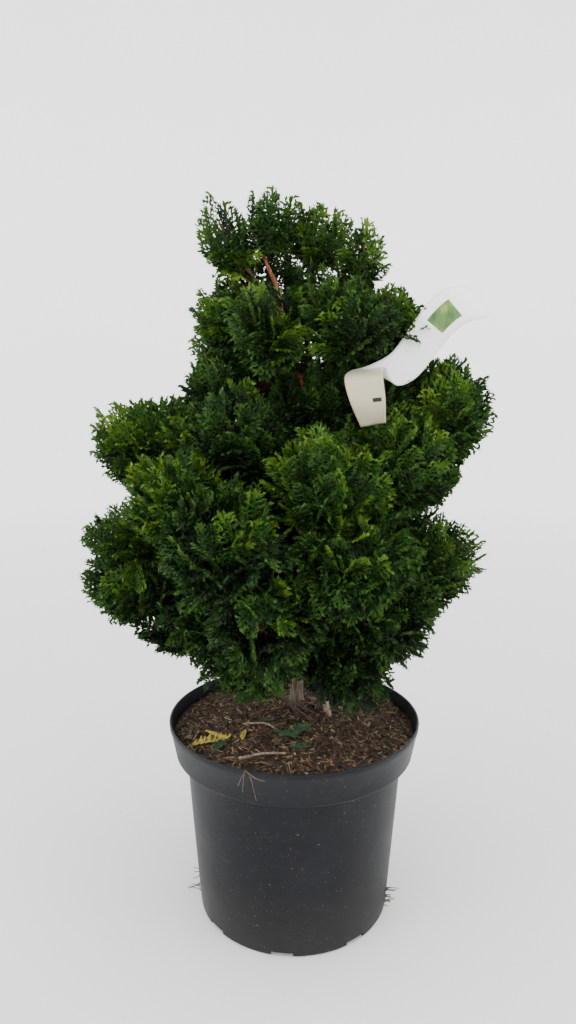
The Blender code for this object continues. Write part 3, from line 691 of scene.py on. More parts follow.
def frames_along(path):
    """Two unit vectors across each point of a path, carried along without twist."""
    along = np.gradient(path, axis=0)
    along /= np.linalg.norm(along, axis=1, keepdims=True)
    first = np.cross(along[0], (0.0, 1.0, 0.0) if abs(along[0][1]) < 0.9 else (1.0, 0.0, 0.0))
    across = np.empty_like(path)
    for i, direction in enumerate(along):
        first = first - direction * np.dot(first, direction)
        first /= np.linalg.norm(first)
        across[i] = first
    return across, np.cross(along, across)


def ring_faces(rings, sides, turn_round=False):
    """Faces of a closed wall of rings, where ring i, side j has number i * sides + j, and of the
    fans that close it, whose middles have the two numbers after those. A wall that runs the
    other way is turned round."""
    side = np.arange(sides)
    after = (side + 1) % sides
    low = np.arange(rings - 1)[:, None] * sides
    high = low + sides
    quads = np.stack([low + side, low + after, high + after, high + side], axis=-1).reshape(-1, 4)
    count = rings * sides
    last = count - sides
    caps = np.vstack([np.stack([np.full(sides, count), after, side], axis=1),
                      np.stack([np.full(sides, count + 1), last + side, last + after], axis=1)])
    if turn_round:
        return caps[:, [0, 2, 1]], quads[:, [0, 3, 2, 1]]
    return caps, quads


def tube_shape(path, radii, sides, relief=None):
    """A closed tube: ring i, side j lies at path[i] + radius * (cos a, sin a) across the path.
    relief gives the share of the radius at each ring and side."""
    across, third = frames_along(path)
    angles = np.arange(sides) / sides * math.tau
    radii = np.asarray(radii)[:, None] * (relief if relief is not None else np.ones((1, sides)))
    ring = (across[:, None, :] * np.cos(angles)[None, :, None]
            + third[:, None, :] * np.sin(angles)[None, :, None])
    points = path[:, None, :] + ring * radii[:, :, None]
    points = np.vstack([points.reshape(-1, 3), path[0], path[-1]])
    return points, *ring_faces(len(path), sides)


def bark_relief(path, sides, depth, phase):
    """Shares of the radius: long fibrous ridges that wander round the limb and break off."""
    angles = np.arange(sides) / sides * math.tau
    height = np.concatenate([[0], np.cumsum(np.linalg.norm(np.diff(path, axis=0), axis=1))])
    a, h = angles[None, :], height[:, None]
    ridges = np.sin(5 * a + 38 * h + phase) + 0.7 * np.sin(9 * a - 61 * h + 2 * phase)
    breaks = 0.5 * np.sin(3 * a + 310 * h + phase) + 0.4 * np.sin(13 * a + 170 * h)
    return 1 + depth * (ridges + breaks)


def trunk_line():
    path = smooth_path([place for place, _ in TRUNK_KEYS], TRUNK_STEPS)
    radii = smooth_path([(radius,) for _, radius in TRUNK_KEYS], TRUNK_STEPS)[:, 0]
    return path, radii


def trunk_at(height):
    """The trunk's centre line and radius at a height."""
    path, radii = trunk_line()
    place = [np.interp(height, path[:, 2], path[:, i]) for i in range(2)]
    return np.array([*place, height]), float(np.interp(height, path[:, 2], radii))


class Space:
    """The ellipsoid that a mass keeps to."""

    def __init__(self, mass):
        self.mass = mass
        self.centre = np.array(mass.centre)
        out = np.array([self.centre[0], self.centre[1], 0.0])
        out /= np.linalg.norm(out)
        rise = math.radians(mass.rise)
        self.along = out * math.cos(rise) + np.array([0.0, 0.0, math.sin(rise)])
        self.side = np.array([-out[1], out[0], 0.0])
        self.across = np.cross(self.along, self.side)
        self.shape = np.stack([self.along, self.side, self.across], axis=1) * mass.half_sizes
        self.inverse = np.linalg.inv(self.shape)
        self.entry = self.centre - self.along * mass.half_sizes[0] * STEM_ENTRY
        self.stem_end = self.centre + self.along * mass.half_sizes[0] * STEM_REACH

    def depth_of(self, points):
        """0 at the centre of the space and 1 on its skin."""
        return np.linalg.norm((np.atleast_2d(points) - self.centre) @ self.inverse.T, axis=1)

    def area(self):
        """The skin's area, by the usual approximation for an ellipsoid."""
        a, b, c = self.mass.half_sizes
        mean = ((a * b) ** AREA_POWER + (a * c) ** AREA_POWER + (b * c) ** AREA_POWER) / 3
        return 4 * math.pi * mean ** (1 / AREA_POWER)


def make_trunk(finish):
    """The trunk as one limb with fluted flare and bark relief, from below the mulch to its tip."""
    path, radii = trunk_line()
    angles = np.arange(TRUNK_SIDES) / TRUNK_SIDES * math.tau
    relief = bark_relief(path, TRUNK_SIDES, *TRUNK_RELIEF)
    flare = np.clip((FLARE_TOP - path[:, 2]) / (FLARE_TOP - path[0, 2]), 0, 1)[:, None]
    relief = relief * (1 + FLARE_DEPTH * flare * np.cos(FLARE_RIDGES * angles)[None, :])
    points, caps, quads = tube_shape(path, radii, TRUNK_SIDES, relief)
    add_piece("trunk_bark", points, [caps, quads], finish, ["trunk"], True)


def bough_path(space):
    start, trunk_radius = trunk_at(space.mass.leaves)
    end = space.entry
    handle = end - space.along * np.linalg.norm(end - start) * BOUGH_HANDLE
    path = bent_path(start, handle, end, BOUGH_POINTS)
    root_radius = min(BOUGH_ROOT_RADIUS, BOUGH_TRUNK_SHARE * trunk_radius)
    return path, np.linspace(root_radius, BOUGH_TIP_RADIUS, BOUGH_POINTS)


def make_boughs(spaces, finish):
    heap = Heap()
    nodes = []
    for i, space in enumerate(spaces):
        if space.mass.has_bough:
            path, radii = bough_path(space)
            relief = bark_relief(path, BOUGH_SIDES, BOUGH_RELIEF, i)
            heap.add(*tube_shape(path, radii, BOUGH_SIDES, relief))
            nodes.append(space.mass.name + "_bough")
    heap.piece("bough_bark", finish, "bark", nodes, True)


def stem_path(space):
    """The stem's centre line, from its bough's tip or the trunk to well inside the mass."""
    if space.mass.has_bough:
        return bent_path(space.entry, space.centre, space.stem_end, STEM_POINTS)
    if space.mass.leaves is None:
        path, _ = trunk_line()
        onward = (path[-1] - path[-2]) / np.linalg.norm(path[-1] - path[-2])
        return bent_path(path[-1], path[-1] + onward * STEM_BEND, space.stem_end, STEM_POINTS)
    start, _ = trunk_at(space.mass.leaves)
    return bent_path(start, space.entry, space.stem_end, LONG_STEM_POINTS)


def leaf(points, triangles, root, angle, length, width, rng):
    """A scale leaf: a long kite, folded along its middle."""
    angle += rng.uniform(-LEAF_TURN, LEAF_TURN)
    length *= rng.uniform(*LEAF_LENGTHS)
    direction = np.array([math.cos(angle), math.sin(angle)])
    side = np.array([-direction[1], direction[0]])
    first = len(points)
    middle = root + direction * length * LEAF_WIDEST
    tilt = rng.uniform(-LEAF_TILT, LEAF_TILT)
    points.append((*root, 0.0))
    points.append((*(middle - side * width / 2), tilt - LEAF_FOLD))
    points.append((*(root + direction * length), rng.uniform(*LEAF_TIP_LIFT)))
    points.append((*(middle + side * width / 2), -tilt - LEAF_FOLD))
    triangles.append((first, first + 1, first + 2))
    triangles.append((first, first + 2, first + 3))


def branch(points, triangles, root, angle, length, rng):
    """Scale leaves to both sides of a branchlet, alternate, and two along its middle line."""
    direction = np.array([math.cos(angle), math.sin(angle)])
    count = max(2, round(length / LEAF_STEP))
    for i in range(count):
        share = (i + 0.5) / count
        place = root + direction * length * share
        size = 1.0 - LEAF_TAPER * share
        turn = LEAF_ANGLE if i % 2 else -LEAF_ANGLE
        leaf(points, triangles, place, angle + turn, LEAF_LENGTH * size, LEAF_WIDTH, rng)
    for start, reach, width in MIDDLE_SCALES:
        place = root + direction * length * start
        leaf(points, triangles, place, angle, length * reach, LEAF_WIDTH * width, rng)


def spray_template(rng):
    """A fan of forked branchlets, cupped, with its end curled up. The stalk is at the origin
    and the tip at +X. Returns points, triangles and how far out each triangle lies."""
    points, triangles = [], []
    for i in range(BRANCHLETS):
        share = (i + 0.6) / (BRANCHLETS + 0.8)
        root = np.array([share, 0.0])
        length = BRANCHLET_LENGTH * (1 - share) ** BRANCHLET_TAPER * (0.62 + 0.38 * min(1.0, 3 * share))
        for side in (-1, 1):
            angle = side * (BRANCHLET_ANGLE - BRANCHLET_CLOSING * share)
            angle += rng.uniform(-BRANCHLET_TURN, BRANCHLET_TURN)
            start = root + np.array([side * BRANCHLET_STAGGER, 0.0])
            branch(points, triangles, start, angle, length * rng.uniform(*BRANCHLET_LENGTHS), rng)
        leaf(points, triangles, root, 0.0, RACHIS_SCALE[0], LEAF_WIDTH * RACHIS_SCALE[1], rng)
    branch(points, triangles, np.array([END_BRANCH[0], 0.0]), 0.0, END_BRANCH[1], rng)
    points = np.array(points)
    x, y = points[:, 0], points[:, 1]
    points[:, 2] += CUP * y**2 + CURL * (x - 0.5) * np.abs(x - 0.5)
    triangles = np.array(triangles)
    middle = points[triangles].mean(axis=1)
    outer = np.hypot(middle[:, 0] - OUTER_FROM, middle[:, 1] * OUTER_STRETCH)
    return points, triangles, outer


def open_to_view(points):
    """True for points in the gaps that are left in front of the trunk."""
    path, _ = trunk_line()
    in_front = np.zeros(len(points), bool)
    for low, high, width in OPEN_STRETCHES:
        x = np.interp(points[:, 2], path[:, 2], path[:, 0])
        y = np.interp(points[:, 2], path[:, 2], path[:, 1])
        near = (points[:, 2] > low) & (points[:, 2] < high)
        in_front |= near & (np.abs(points[:, 0] - x) < width) & (points[:, 1] < y)
    return in_front


def spiral(count, turn):
    """Unit vectors one golden angle apart round the first axis, from its far end to the shoulder."""
    order = np.arange(count)
    forward = 1 - (order + 0.5) / count * (1 - REARMOST_SITE)
    around = np.sqrt(1 - forward**2)
    angle = turn + GOLDEN_ANGLE * order
    return np.stack([forward, around * np.cos(angle), around * np.sin(angle)], axis=1)


def growth_sites(space, spaces, shell, rng):
    """The rule of growth. Sites for spray tips lie one golden angle apart round the mass's axis,
    evenly from its far end back to its shoulder, and those in another mass's space are left out.
    They reach furthest at the middle of their plume. Returns the sites' directions, the number of
    each one's plume, the plumes' directions and the tips."""
    count = round(space.area() * shell.density)
    if space.mass.name in AIRY:
        count = round(count * AIRY_SHARE)
    toward = spiral(count, rng.uniform(0, math.tau))
    plumes = spiral(PLUMES, rng.uniform(0, math.tau))
    plumes = unit(plumes + np.array([[rng.gauss(0, PLUME_SCATTER) for _ in range(3)] for _ in plumes]))
    near = toward @ plumes.T
    plume = near.argmax(axis=1)
    apart = np.arccos(np.clip(near.max(axis=1), -1, 1)) / PLUME_RADIUS
    heights = np.array([rng.uniform(*PLUME_HEIGHT) for _ in plumes])[plume]
    reach = shell.reach * (heights - PLUME_VALLEY * np.minimum(apart, PLUME_FOOT) ** 2)
    tips = space.centre + (toward * reach[:, None]) @ space.shape.T
    claim = np.min([other.depth_of(tips) for other in spaces if other is not space], axis=0)
    keep = (space.depth_of(tips) + CELL_MARGIN < claim) & ~open_to_view(tips)
    return toward[keep], plume[keep], plumes, tips[keep]


def unit(vectors):
    return vectors / np.linalg.norm(vectors, axis=-1, keepdims=True)


def make_foliage(spaces, twig_material):
    """Sprays of scale leaves and their twigs on every mass and on the inner growth, dealt to
    pieces by colour."""
    rng = random.Random(SEED)
    templates = [spray_template(rng) for _ in range(TEMPLATES)]
    colours = [Heap() for _ in GREENS]
    twigs = Heap()
    for space in spaces + [Space(mass) for mass in INNER_GROWTH]:
        rng = random.Random(f"{SEED} {space.mass.name}")
        stem = stem_path(space)
        radii = np.linspace(STEM_ROOT_RADIUS, STEM_TIP_RADIUS, len(stem))
        twigs.add(*tube_shape(stem, radii, STEM_SIDES))
        for shell in SHELLS:
            grow_shell(space, spaces, shell, stem, templates, colours, twigs, rng)
    twigs.piece("twigs", twig_material, "bark")
    deal_out(colours, [space.mass.name for space in spaces])


def spray_frame(space, tip, plume_direction, lean, rng):
    """The directions outwards, along, across and off a spray."""
    outward = unit(tip - space.centre)
    lift = min(1.0, LEVEL_LIFT + space.mass.rise / LIFT_SLOPE)
    jitter = np.array([rng.gauss(0, SPRAY_JITTER) for _ in range(3)])
    skinward = space.along * ALONG_SHARE + np.array([0.0, 0.0, lift]) + jitter
    skinward = unit(skinward - outward * np.dot(skinward, outward))
    axis = unit(outward * lean.outward + plume_direction * lean.plume + skinward * lean.skin)
    across = unit(np.cross(axis, outward))
    normal = np.cross(axis, across)
    roll = rng.uniform(-SPRAY_ROLL, SPRAY_ROLL)
    across = across * math.cos(roll) + normal * math.sin(roll)
    normal = np.cross(axis, across)
    if np.dot(normal, outward) < 0:
        across, normal = -across, -normal
    return outward, axis, across, normal


def grow_shell(space, spaces, shell, stem, templates, colours, twigs, rng):
    """One spray and its twig at each site of a shell, the spray's tips a step lighter."""
    toward, plume, plumes, tips = growth_sites(space, spaces, shell, rng)
    directions = unit(plumes @ space.shape.T)
    tones = [rng.gauss(0, PLUME_SPREAD_OF_TONE) for _ in plumes]
    for place, index, tip in zip(toward, plume, tips):
        leads = rng.random() < LEADER_SHARE
        if leads:
            tip = tip + (tip - space.centre) * LEADER_REACH
        lean = LEADING if leads else RESTING
        outward, axis, across, normal = spray_frame(space, tip, directions[index], lean, rng)
        length = SPRAY_LENGTH * rng.uniform(*SPRAY_LENGTHS)
        root = tip - axis * length * SPRAY_BODY
        points, triangles, outer = rng.choice(templates)
        placed = root + (points * length) @ np.stack([axis, across, normal])
        if open_to_view(np.array([(root + tip) / 2])).any():
            continue
        # Painted shade: sprays of the inner shell are dealt darker greens
        shade = space.mass.tone + TONE_GAIN + tones[index] - shell.darker + rng.gauss(0, TONE_SPREAD)
        # Painted light: sprays that face up are dealt lighter greens
        shade += PAINTED_LIGHT_UPWARD * outward[2]
        base = int(min(len(GREENS) - 2, max(0, round(shade))))
        tipped = outer > rng.uniform(*TIPPED_FROM)
        for green, group in ((base, triangles[~tipped]), (base + 1, triangles[tipped])):
            used, corners = np.unique(group, return_inverse=True)
            colours[green].add(placed[used], corners.reshape(-1, 3))
        along = TWIG_STARTS[0] + TWIG_STARTS[1] * (1 + place[0]) / 2
        start = stem[round(along * (len(stem) - 1))]
        end = root + axis * length * SPRAY_SINK
        bend = (start + end) / 2 - outward * TWIG_SAG
        radii = np.linspace(TWIG_ROOT_RADIUS, TWIG_TIP_RADIUS, TWIG_POINTS)
        twigs.add(*tube_shape(bent_path(start, bend, end, TWIG_POINTS), radii, TWIG_SIDES))


def deal_out(colours, nodes):
    """One piece for each colour, or several where a piece would hold too many triangles."""
    for index, heap in enumerate(colours):
        total = sum(len(group) for group in heap.triangles)
        parts = max(1, math.ceil(total / PIECE_TRIANGLES))
        material = leaf_finish(index)
        size = math.ceil(len(heap.points) / parts)
        for part in range(parts):
            share = Heap()
            offset = sum(len(points) for points in heap.points[:part * size])
            for i in range(part * size, min(len(heap.points), (part + 1) * size)):
                points = heap.points[i]
                share.add(points, heap.triangles[i] - offset)
                offset += len(points)
            share.piece(f"sprays_{index}_{part}", material, "foliage", nodes)


def arc(middle, height, width, rise, first, last, steps):
    """Points of an elliptic arc in a profile, at angles counted from straight out."""
    angles = np.radians(np.linspace(first, last, steps))
    return list(zip(middle + width * np.cos(angles), height + rise * np.sin(angles)))


def pot_profile():
    """The pot's section, from the middle of its inner floor, over the rim, to the underside."""
    slope = (BODY_TOP_RADIUS - BASE_RADIUS) / BAND_FOOT_HEIGHT
    inner_base = BASE_RADIUS - POT_WALL
    edge = POT_HEIGHT - RIM_EDGE
    inner = [
        (0.0, POT_FLOOR), (inner_base - BASE_CORNER, POT_FLOOR),
        (inner_base, POT_FLOOR + BASE_CORNER),
        (inner_base + slope * BAND_FOOT_HEIGHT, BAND_FOOT_HEIGHT),
        (BAND_FOOT_RADIUS - POT_WALL, BAND_FOOT_HEIGHT + POT_WALL),
    ]
    rim = arc(RIM_RADIUS - POT_WALL / 2, edge, POT_WALL / 2, RIM_EDGE, 180, 0, 9)
    lip = [(RIM_RADIUS - inset, edge - drop) for inset, drop in RIM_UNDERCUT]
    band = arc(BAND_FOOT_RADIUS - BAND_CORNER, BAND_FOOT_HEIGHT + BAND_CORNER,
               BAND_CORNER, BAND_CORNER, 0, -90, 7)
    under = [(BODY_TOP_RADIUS - inset, BAND_FOOT_HEIGHT - drop) for inset, drop in UNDER_BAND]
    body = [(BASE_RADIUS + slope * z, z) for z in BODY_HEIGHTS]
    base = arc(BASE_RADIUS - BASE_CORNER, BASE_CORNER, BASE_CORNER, BASE_CORNER, 0, -90, 6)
    return np.array([*inner, *rim, *lip, *band, *under, *body, *base, (0.0, 0.0)])


def turned_shape(profile, segments):
    """A profile of radii and heights turned about +Z: point i, segment j lies at
    (radius cos a, radius sin a, height). The points on the axis are shared."""
    angles = np.arange(segments) / segments * math.tau
    body = profile[1:-1]
    ring = np.stack([np.cos(angles), np.sin(angles)], axis=1)
    points = np.concatenate([
        body[:, None, :1] * ring[None], np.repeat(body[:, None, 1:], segments, axis=1),
    ], axis=2).reshape(-1, 3)
    points = np.vstack([points, (0, 0, profile[0, 1]), (0, 0, profile[-1, 1])])
    return points, *ring_faces(len(body), segments, True)


def make_pot(finish):
    """The pot with fine corners and its drainage slots cut through the foot."""
    points, caps, quads = turned_shape(pot_profile(), POT_SEGMENTS)
    pot = add_piece("nursery_pot", points, [caps, quads], finish, ["pot"], True)
    slots = bpy.data.collections.new("slots")
    bpy.context.scene.collection.children.link(slots)
    for i in range(SLOT_COUNT):
        angle = SLOT_FIRST_AZIMUTH + math.tau * i / SLOT_COUNT
        bpy.ops.mesh.primitive_cube_add(size=1.0)
        slot = bpy.context.active_object
        slot.data.transform(Matrix.Rotation(angle, 4, "Z") @ Matrix.Translation((BASE_RADIUS, 0, 0))
                            @ Matrix.Diagonal((*SLOT_SIZE, 1.0)))
        for collection in list(slot.users_collection):
            collection.objects.unlink(slot)
        slots.objects.link(slot)
    cut = pot.modifiers.new("slots", "BOOLEAN")
    cut.operand_type = "COLLECTION"
    cut.collection = slots
    cut.operation = "DIFFERENCE"
    cut.solver = "EXACT"
    bpy.context.view_layer.update()
    graph = bpy.context.evaluated_depsgraph_get()
    mesh = bpy.data.meshes.new_from_object(pot.evaluated_get(graph))
    pot.modifiers.clear()
    pot.data = mesh
    mesh.set_sharp_from_angle(angle=SHARP_ANGLE)
    for slot in list(slots.objects):
        bpy.data.objects.remove(slot)
    bpy.data.collections.remove(slots)


def soil_height(x, y):
    """The mulch's surface: level round the trunk, sloping to the wall, with small lumps."""
    radius = np.hypot(x, y)
    share = np.clip((radius - SOIL_FLAT_RADIUS) / (SOIL_RADIUS - SOIL_FLAT_RADIUS), 0, 1)
    lumps = (np.sin(97 * x + 41 * y) + np.sin(63 * y - 88 * x + 1.3) + np.sin(171 * x + 2)
             * np.cos(149 * y) + 0.7 * np.sin(260 * x - 231 * y))
    fade = np.clip((SOIL_RADIUS - radius) / SOIL_FADE, 0, 1)
    mound = SOIL_MOUND_HEIGHT + (SOIL_EDGE_HEIGHT - SOIL_MOUND_HEIGHT) * share
    return mound + SOIL_LUMP * lumps * fade


def make_soil(finish):
    """The soil's top: ring i, sector j lies at the mulch's height, with a skirt down the wall."""
    radii = np.linspace(0.001, SOIL_RADIUS, SOIL_RINGS)
    angles = np.arange(SOIL_SECTORS) / SOIL_SECTORS * math.tau
    r, a = np.meshgrid(radii, angles, indexing="ij")
    x, y = r * np.cos(a), r * np.sin(a)
    top = np.stack([x, y, soil_height(x, y)], axis=-1)
    share, foot = SOIL_FOOT
    skirt = top[-1:] * (share, share, 0.0) + np.array([0.0, 0.0, foot])
    points = np.concatenate([top, skirt]).reshape(-1, 3)
    points = np.vstack([points, (0.0, 0.0, float(soil_height(0.0, 0.0))), (0.0, 0.0, foot)])
    caps, quads = ring_faces(SOIL_RINGS + 1, SOIL_SECTORS, True)
    add_piece("potting_soil", points, [caps, quads], finish, ["soil"], True)


BOX_QUADS = np.array([(0, 1, 3, 2), (4, 6, 7, 5), (0, 4, 5, 1), (2, 3, 7, 6), (0, 2, 6, 4),
                      (1, 5, 7, 3)])
BOX_CORNERS = np.array([(x, y, z) for x in (-1, 1) for y in (-1, 1) for z in (-1, 1)], float)


def chip(rng, place, size):
    """A wedge of bark that lies nearly flat, its corners pulled about."""
    corners = BOX_CORNERS * np.array(size) / 2
    corners *= 1 + CHIP_PULL * (np.array([[rng.random() for _ in range(3)] for _ in range(8)]) - 0.5)
    corners[4:, 1:] *= rng.uniform(*CHIP_THIN_END)
    turn = Matrix.Rotation(rng.uniform(0, math.tau), 3, "Z") @ Matrix.Rotation(
        rng.gauss(0, CHIP_PITCH), 3, "Y") @ Matrix.Rotation(rng.gauss(0, CHIP_BANK), 3, "X")
    return place + corners @ np.array(turn).T


def make_mulch(finish):
    """Thousands of bark chips and pale strands strewn evenly over the soil's top."""
    rng = random.Random(SEED)
    heap = Heap()
    for i in range(CHIP_COUNT + STRAND_COUNT):
        radius = (SOIL_RADIUS - MULCH_EDGE) * math.sqrt(rng.random())
        angle = rng.uniform(0, math.tau)
        x, y = radius * math.cos(angle), radius * math.sin(angle)
        if i < CHIP_COUNT:
            length = min(CHIP_LONGEST, CHIP_SHORTEST + rng.expovariate(1 / CHIP_SPREAD))
            size = (length, rng.uniform(*CHIP_WIDTHS), rng.uniform(*CHIP_DEPTHS))
            tone = min(CHIP_PALEST, max(0.0, rng.gauss(*CHIP_TONE)))
        else:
            size = (rng.uniform(*STRAND_LENGTHS), rng.uniform(*STRAND_WIDTHS), STRAND_DEPTH)
            tone = rng.uniform(*STRAND_TONES)
        reach = math.hypot(x, y) + size[0] / 2
        if reach > SOIL_RADIUS:
            x, y = x * SOIL_RADIUS / reach * MULCH_INSET, y * SOIL_RADIUS / reach * MULCH_INSET
        place = np.array([x, y, float(soil_height(x, y)) + rng.uniform(0.0, MULCH_LIFT)])
        heap.add(chip(rng, place, size), quads=BOX_QUADS, tone=tone)
    heap.piece("bark_mulch", finish, "soil")


def on_soil(x, y, lift):
    return np.array([x, y, float(soil_height(x, y)) + lift])


def strand(heap, keys, radii):
    path = smooth_path(keys, FINE_STEPS)
    heap.add(*tube_shape(path, np.linspace(*radii, len(path)), FINE_SIDES))


def lay_sprigs(heap, template, places, width):
    """Copies of a spray that lie on the mulch, narrowed to a share of their width."""
    points, triangles, _ = template
    for x, y, turn, length in places:
        angle = math.radians(turn)
        axis = np.array([math.cos(angle), math.sin(angle), SPRIG_SLOPES[0]])
        across = np.array([-math.sin(angle), math.cos(angle), SPRIG_SLOPES[1]])
        placed = on_soil(x, y, SPRIG_LIFT) + (points * length * (1, width, 1)) @ np.stack(
            [axis, across, np.array([0.0, 0.0, 1.0])])
        heap.add(placed, triangles)


def grow_roots(roots, rng):
    """A branched rootlet over the rim, roots round the trunk's foot and tufts on the pot's."""
    rim = np.array(ROOTLET_CROSSING)
    for aside, drop in ROOTLET_ENDS:
        outer = rim + np.array([aside * 0.5, *ROOTLET_OVER])
        strand(roots, [on_soil(*ROOTLET_START), rim, outer,
                       rim + np.array([aside, ROOTLET_OUT, -drop])], ROOTLET_RADII)
    x, y = FOOT_CENTRE
    for _ in range(FOOT_ROOTS):
        angle = rng.uniform(0, math.tau)
        reach = rng.uniform(*FOOT_REACH)
        mid = (x + math.cos(angle) * reach * 0.5, y + math.sin(angle) * reach * 0.5)
        end = (x + math.cos(angle + FOOT_BEND) * reach, y + math.sin(angle + FOOT_BEND) * reach)
        near, middle, far = FOOT_LIFTS
        strand(roots, [on_soil(x, y, near), on_soil(*mid, rng.uniform(*middle)), on_soil(*end, far)],
               FOOT_RADII)
    for azimuth, count in TUFTS:
        for _ in range(count):
            angle = math.radians(azimuth + rng.uniform(-TUFT_SPREAD, TUFT_SPREAD))
            out = np.array([math.cos(angle), math.sin(angle), 0.0])
            start = out * (BASE_RADIUS - TUFT_START) + np.array([0, 0, rng.uniform(*TUFT_HEIGHTS)])
            away = np.array([rng.uniform(-spread, spread) for spread in TUFT_SCATTER])
            end = start + (out + away) * rng.uniform(*TUFT_LENGTHS)
            end[2] = max(end[2], TUFT_LOWEST)
            strand(roots, [start, (start + end) / 2 + away * TUFT_BEND, end], TUFT_RADII)


def make_litter():
    """What lies on the mulch or sticks out of it: yellowed and green sprigs, dry twigs, a cut
    stub and roots."""
    rng = random.Random(SEED)
    yellow, green, dry, roots = Heap(), Heap(), Heap(), Heap()
    template = spray_template(rng)
    lay_sprigs(yellow, template, YELLOW_SPRIGS, YELLOW_WIDTH)
    lay_sprigs(green, template, GREEN_SPRIGS, GREEN_WIDTH)
    for places, radii in DRY_TWIGS:
        strand(dry, [on_soil(*place) for place in places], radii)
    grow_roots(roots, rng)
    stub = smooth_path([on_soil(*place) for place in STUB], STUB_STEPS)
    dry.add(*tube_shape(stub, np.linspace(*STUB_RADII, len(stub)), STUB_SIDES,
                        bark_relief(stub, STUB_SIDES, *STUB_RELIEF)))
    for heap, (name, look, low, high) in zip((yellow, green, dry, roots), LITTER_LOOKS):
        heap.piece(name, sprig_finish(look, low, high), "soil")


# Label: a bare plastic strip looped over a bough. Each station has the middle of the strip, the
# direction of its width, and half that width.
LABEL_THICKNESS = 0.0006
LABEL_STATIONS = (
    ((0.066, -0.088, 0.506), (0.98, 0.05, 0.16), 0.0110),
    ((0.060, -0.096, 0.527), (0.98, 0.03, 0.10), 0.0150),
    ((0.057, -0.090, 0.546), (0.97, 0.05, 0.12), 0.0165),
    ((0.062, -0.074, 0.553), (0.93, 0.20, 0.10), 0.0165),
    ((0.076, -0.060, 0.548), (0.80, 0.20, -0.50), 0.0160),
    ((0.096, -0.052, 0.557), (0.70, 0.10, -0.66), 0.0160),
    ((0.113, -0.046, 0.578), (0.74, -0.10, -0.60), 0.0165),
    ((0.127, -0.046, 0.597), (0.66, -0.30, -0.62), 0.0180),
    ((0.143, -0.048, 0.610), (0.50, -0.40, -0.72), 0.0195),
    ((0.163, -0.050, 0.613), (0.40, -0.50, -0.74), 0.0195),
)
LABEL_STEPS = 12
# The strip has painted shade, a darker cream, below this height and to the left of this place, low in
# its loop
LABEL_LOOP_TOP = 0.553
LABEL_LOOP_RIGHT = 0.076
LABEL_COLUMNS = 12
# Where the far corners start to round, how long they are, and how much of the width they take
CORNER_START = 0.955
CORNER_LENGTH = 0.045
CORNER_CUT = 0.62
# The patch's span along the strip and across it, as shares
PATCH_ALONG = (0.745, 0.872)
PATCH_ACROSS = (-0.45, 0.60)
# Painted shade: a dark sheet where the small slot in the loop lies, in the same shares
SLOT_ALONG = (0.101, 0.119)
SLOT_ACROSS = (0.28, 0.78)
# The patch and the slot's painted shade are thin sheets that stand just off the strip
MARK_GRID = (24, 12)
MARK_THICKNESS = 0.0001
MARK_LIFT = 0.0004


def label_surface(along, across):
    """Points of the strip's middle surface at shares 0 to 1 along it and -1 to 1 across it."""
    middles = smooth_path([middle for middle, _, _ in LABEL_STATIONS], LABEL_STEPS)
    widths = smooth_path([unit(np.array(width)) * half for _, width, half in LABEL_STATIONS],
                         LABEL_STEPS)
    place = along * (len(middles) - 1)
    order = np.arange(len(middles))
    middle = np.stack([np.interp(place, order, middles[:, k]) for k in range(3)], axis=-1)
    width = np.stack([np.interp(place, order, widths[:, k]) for k in range(3)], axis=-1)
    return middle + width * across[..., None]


def sheet_shape(points, thickness, lift=0.0):
    """A grid of points made a thin closed sheet, raised along its normals by a lift."""
    rows, columns = points.shape[:2]
    normal = unit(np.cross(np.gradient(points, axis=0), np.gradient(points, axis=1)))
    upper = points + normal * (lift + thickness / 2)
    lower = points + normal * (lift - thickness / 2)
    both = np.concatenate([upper.reshape(-1, 3), lower.reshape(-1, 3)])
    i, j = np.meshgrid(np.arange(rows - 1), np.arange(columns - 1), indexing="ij")
    a = (i * columns + j).ravel()
    face = np.stack([a, a + columns, a + columns + 1, a + 1], axis=1)
    under = face[:, ::-1] + rows * columns
    loop = np.concatenate([
        np.arange(columns), np.arange(1, rows) * columns + columns - 1,
        (rows - 1) * columns + np.arange(columns - 2, -1, -1), np.arange(rows - 2, 0, -1) * columns,
    ])
    after = np.roll(loop, -1)
    sides = np.stack([loop, after, after + rows * columns, loop + rows * columns], axis=1)
    return both, [np.concatenate([face, under, sides])]


def make_label(finish, picture):
    """The strip with its far corners rounded, a plain green patch on its tab and a dark sheet of
    painted shade in the slot in its loop."""
    rows = (len(LABEL_STATIONS) - 1) * LABEL_STEPS + 1
    along, across = np.meshgrid(np.linspace(0, 1, rows), np.linspace(-1, 1, LABEL_COLUMNS),
                                indexing="ij")
    rounding = np.clip((along - CORNER_START) / CORNER_LENGTH, 0, 1)
    across = across * np.sqrt(1 - (rounding * CORNER_CUT) ** 2)
    points, faces = sheet_shape(label_surface(along, across), LABEL_THICKNESS)
    add_piece("label_strip", points, faces, finish, ["plant_label"], True)
    # Painted shade: the slot is a dark sheet, not a hole
    dark = sprig_finish("slot_shade", (0.004, 0.004, 0.004), (0.008, 0.008, 0.008))
    for name, length, width, look in (("patch", PATCH_ALONG, PATCH_ACROSS, picture),
                                      ("slot", SLOT_ALONG, SLOT_ACROSS, dark)):
        along, across = np.meshgrid(np.linspace(*length, MARK_GRID[0]),
                                    np.linspace(*width, MARK_GRID[1]), indexing="ij")
        surface = label_surface(along, across)
        for place, side in (("back", -1), ("front", 1)):
            points, faces = sheet_shape(surface, MARK_THICKNESS, side * MARK_LIFT)
            add_piece(f"label_{name}_{place}", points, faces, look, [])


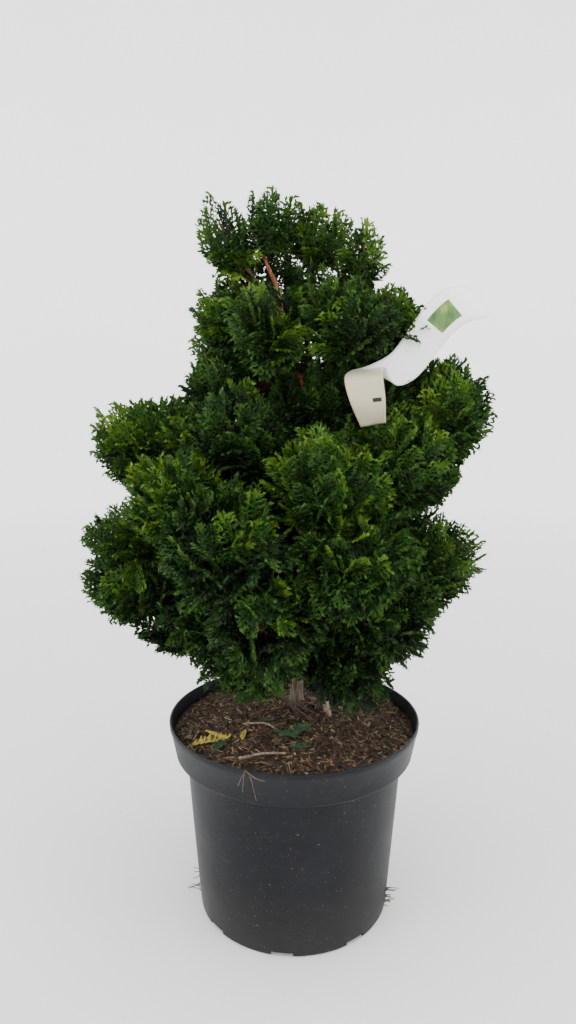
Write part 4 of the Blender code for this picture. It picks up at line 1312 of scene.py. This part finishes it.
def make_camera():
    data = bpy.data.cameras.new("camera")
    data.sensor_width = SENSOR
    data.lens = FOCAL_PIXELS * SENSOR / PHOTO_HEIGHT
    data.clip_start = NEAREST_SEEN
    camera = new_object("camera", data)
    camera.location = CAMERA_PLACE
    camera.rotation_euler = (CAMERA_PITCH, CAMERA_ROLL, 0.0)
    bpy.context.scene.camera = camera


def make_stage():
    """A round pale floor that curves up all round, far from the plant, into a backdrop that
    glows a little so that it is as pale as the floor."""
    finish = Finish("backdrop", 0.75)
    finish.colour(finish.ramp(finish.mottle(2.0, 3.0), [
        (0.3, (0.90, 0.90, 0.89)), (0.7, (0.93, 0.93, 0.925)),
    ]))
    distance = finish.node("ShaderNodeVectorMath", {"operation": "LENGTH"}, {0: finish.place})
    share = Sum(finish.tree, distance.outputs["Value"]) * (1 / STAGE_RADIUS)
    start, end = STAGE_GLOW_SPAN
    glow = finish.ramp(share, [(start, (0.0, 0.0, 0.0)), (end, STAGE_GLOW_COLOUR)])
    finish.tree.links.new(glow, finish.shader.inputs["Emission Color"])
    finish.shader.inputs["Emission Strength"].default_value = STAGE_GLOW
    curve = arc(STAGE_RADIUS - STAGE_CURVE, STAGE_CURVE, STAGE_CURVE, STAGE_CURVE, -90, 0, 14)
    flat = [(radius, 0.0) for radius in (0.0, *STAGE_FLAT_RADII)]
    profile = np.array([*flat, *curve, (STAGE_RADIUS, STAGE_HEIGHT), (0.0, STAGE_HEIGHT)])
    points, caps, quads = turned_shape(profile, STAGE_SEGMENTS)
    faces = [caps[:STAGE_SEGMENTS, ::-1], quads[:, ::-1]]
    floor = new_object("floor", new_mesh("floor", points, faces, finish.material, True))


def add_light(name, place, target, size, power):
    data = bpy.data.lights.new(name, "AREA")
    data.shape = "RECTANGLE"
    data.size, data.size_y = size
    data.energy = power
    light = new_object(name, data)
    light.location = place
    toward = Vector(target) - Vector(place)
    light.rotation_euler = toward.to_track_quat("-Z", "Y").to_euler()


def make_light():
    """Plain soft studio light: a broad lamp overhead, two at the sides and a pale surround."""
    for lamp in LAMPS:
        add_light(*lamp)
    world = bpy.data.worlds.new("surround")
    world.use_nodes = True
    surround = world.node_tree.nodes["Background"]
    surround.inputs["Color"].default_value = SURROUND_COLOUR
    surround.inputs["Strength"].default_value = SURROUND_STRENGTH
    bpy.context.scene.world = world


def main():
    spaces = [Space(mass) for mass in MASSES]
    make_camera()
    make_stage()
    make_light()
    make_pot(pot_finish())
    make_soil(soil_finish())
    make_mulch(chip_finish())
    make_litter()
    bark = bark_finish()
    make_trunk(bark)
    make_boughs(spaces, bark)
    make_foliage(spaces, twig_finish())
    make_label(label_finish(), picture_finish())


main()
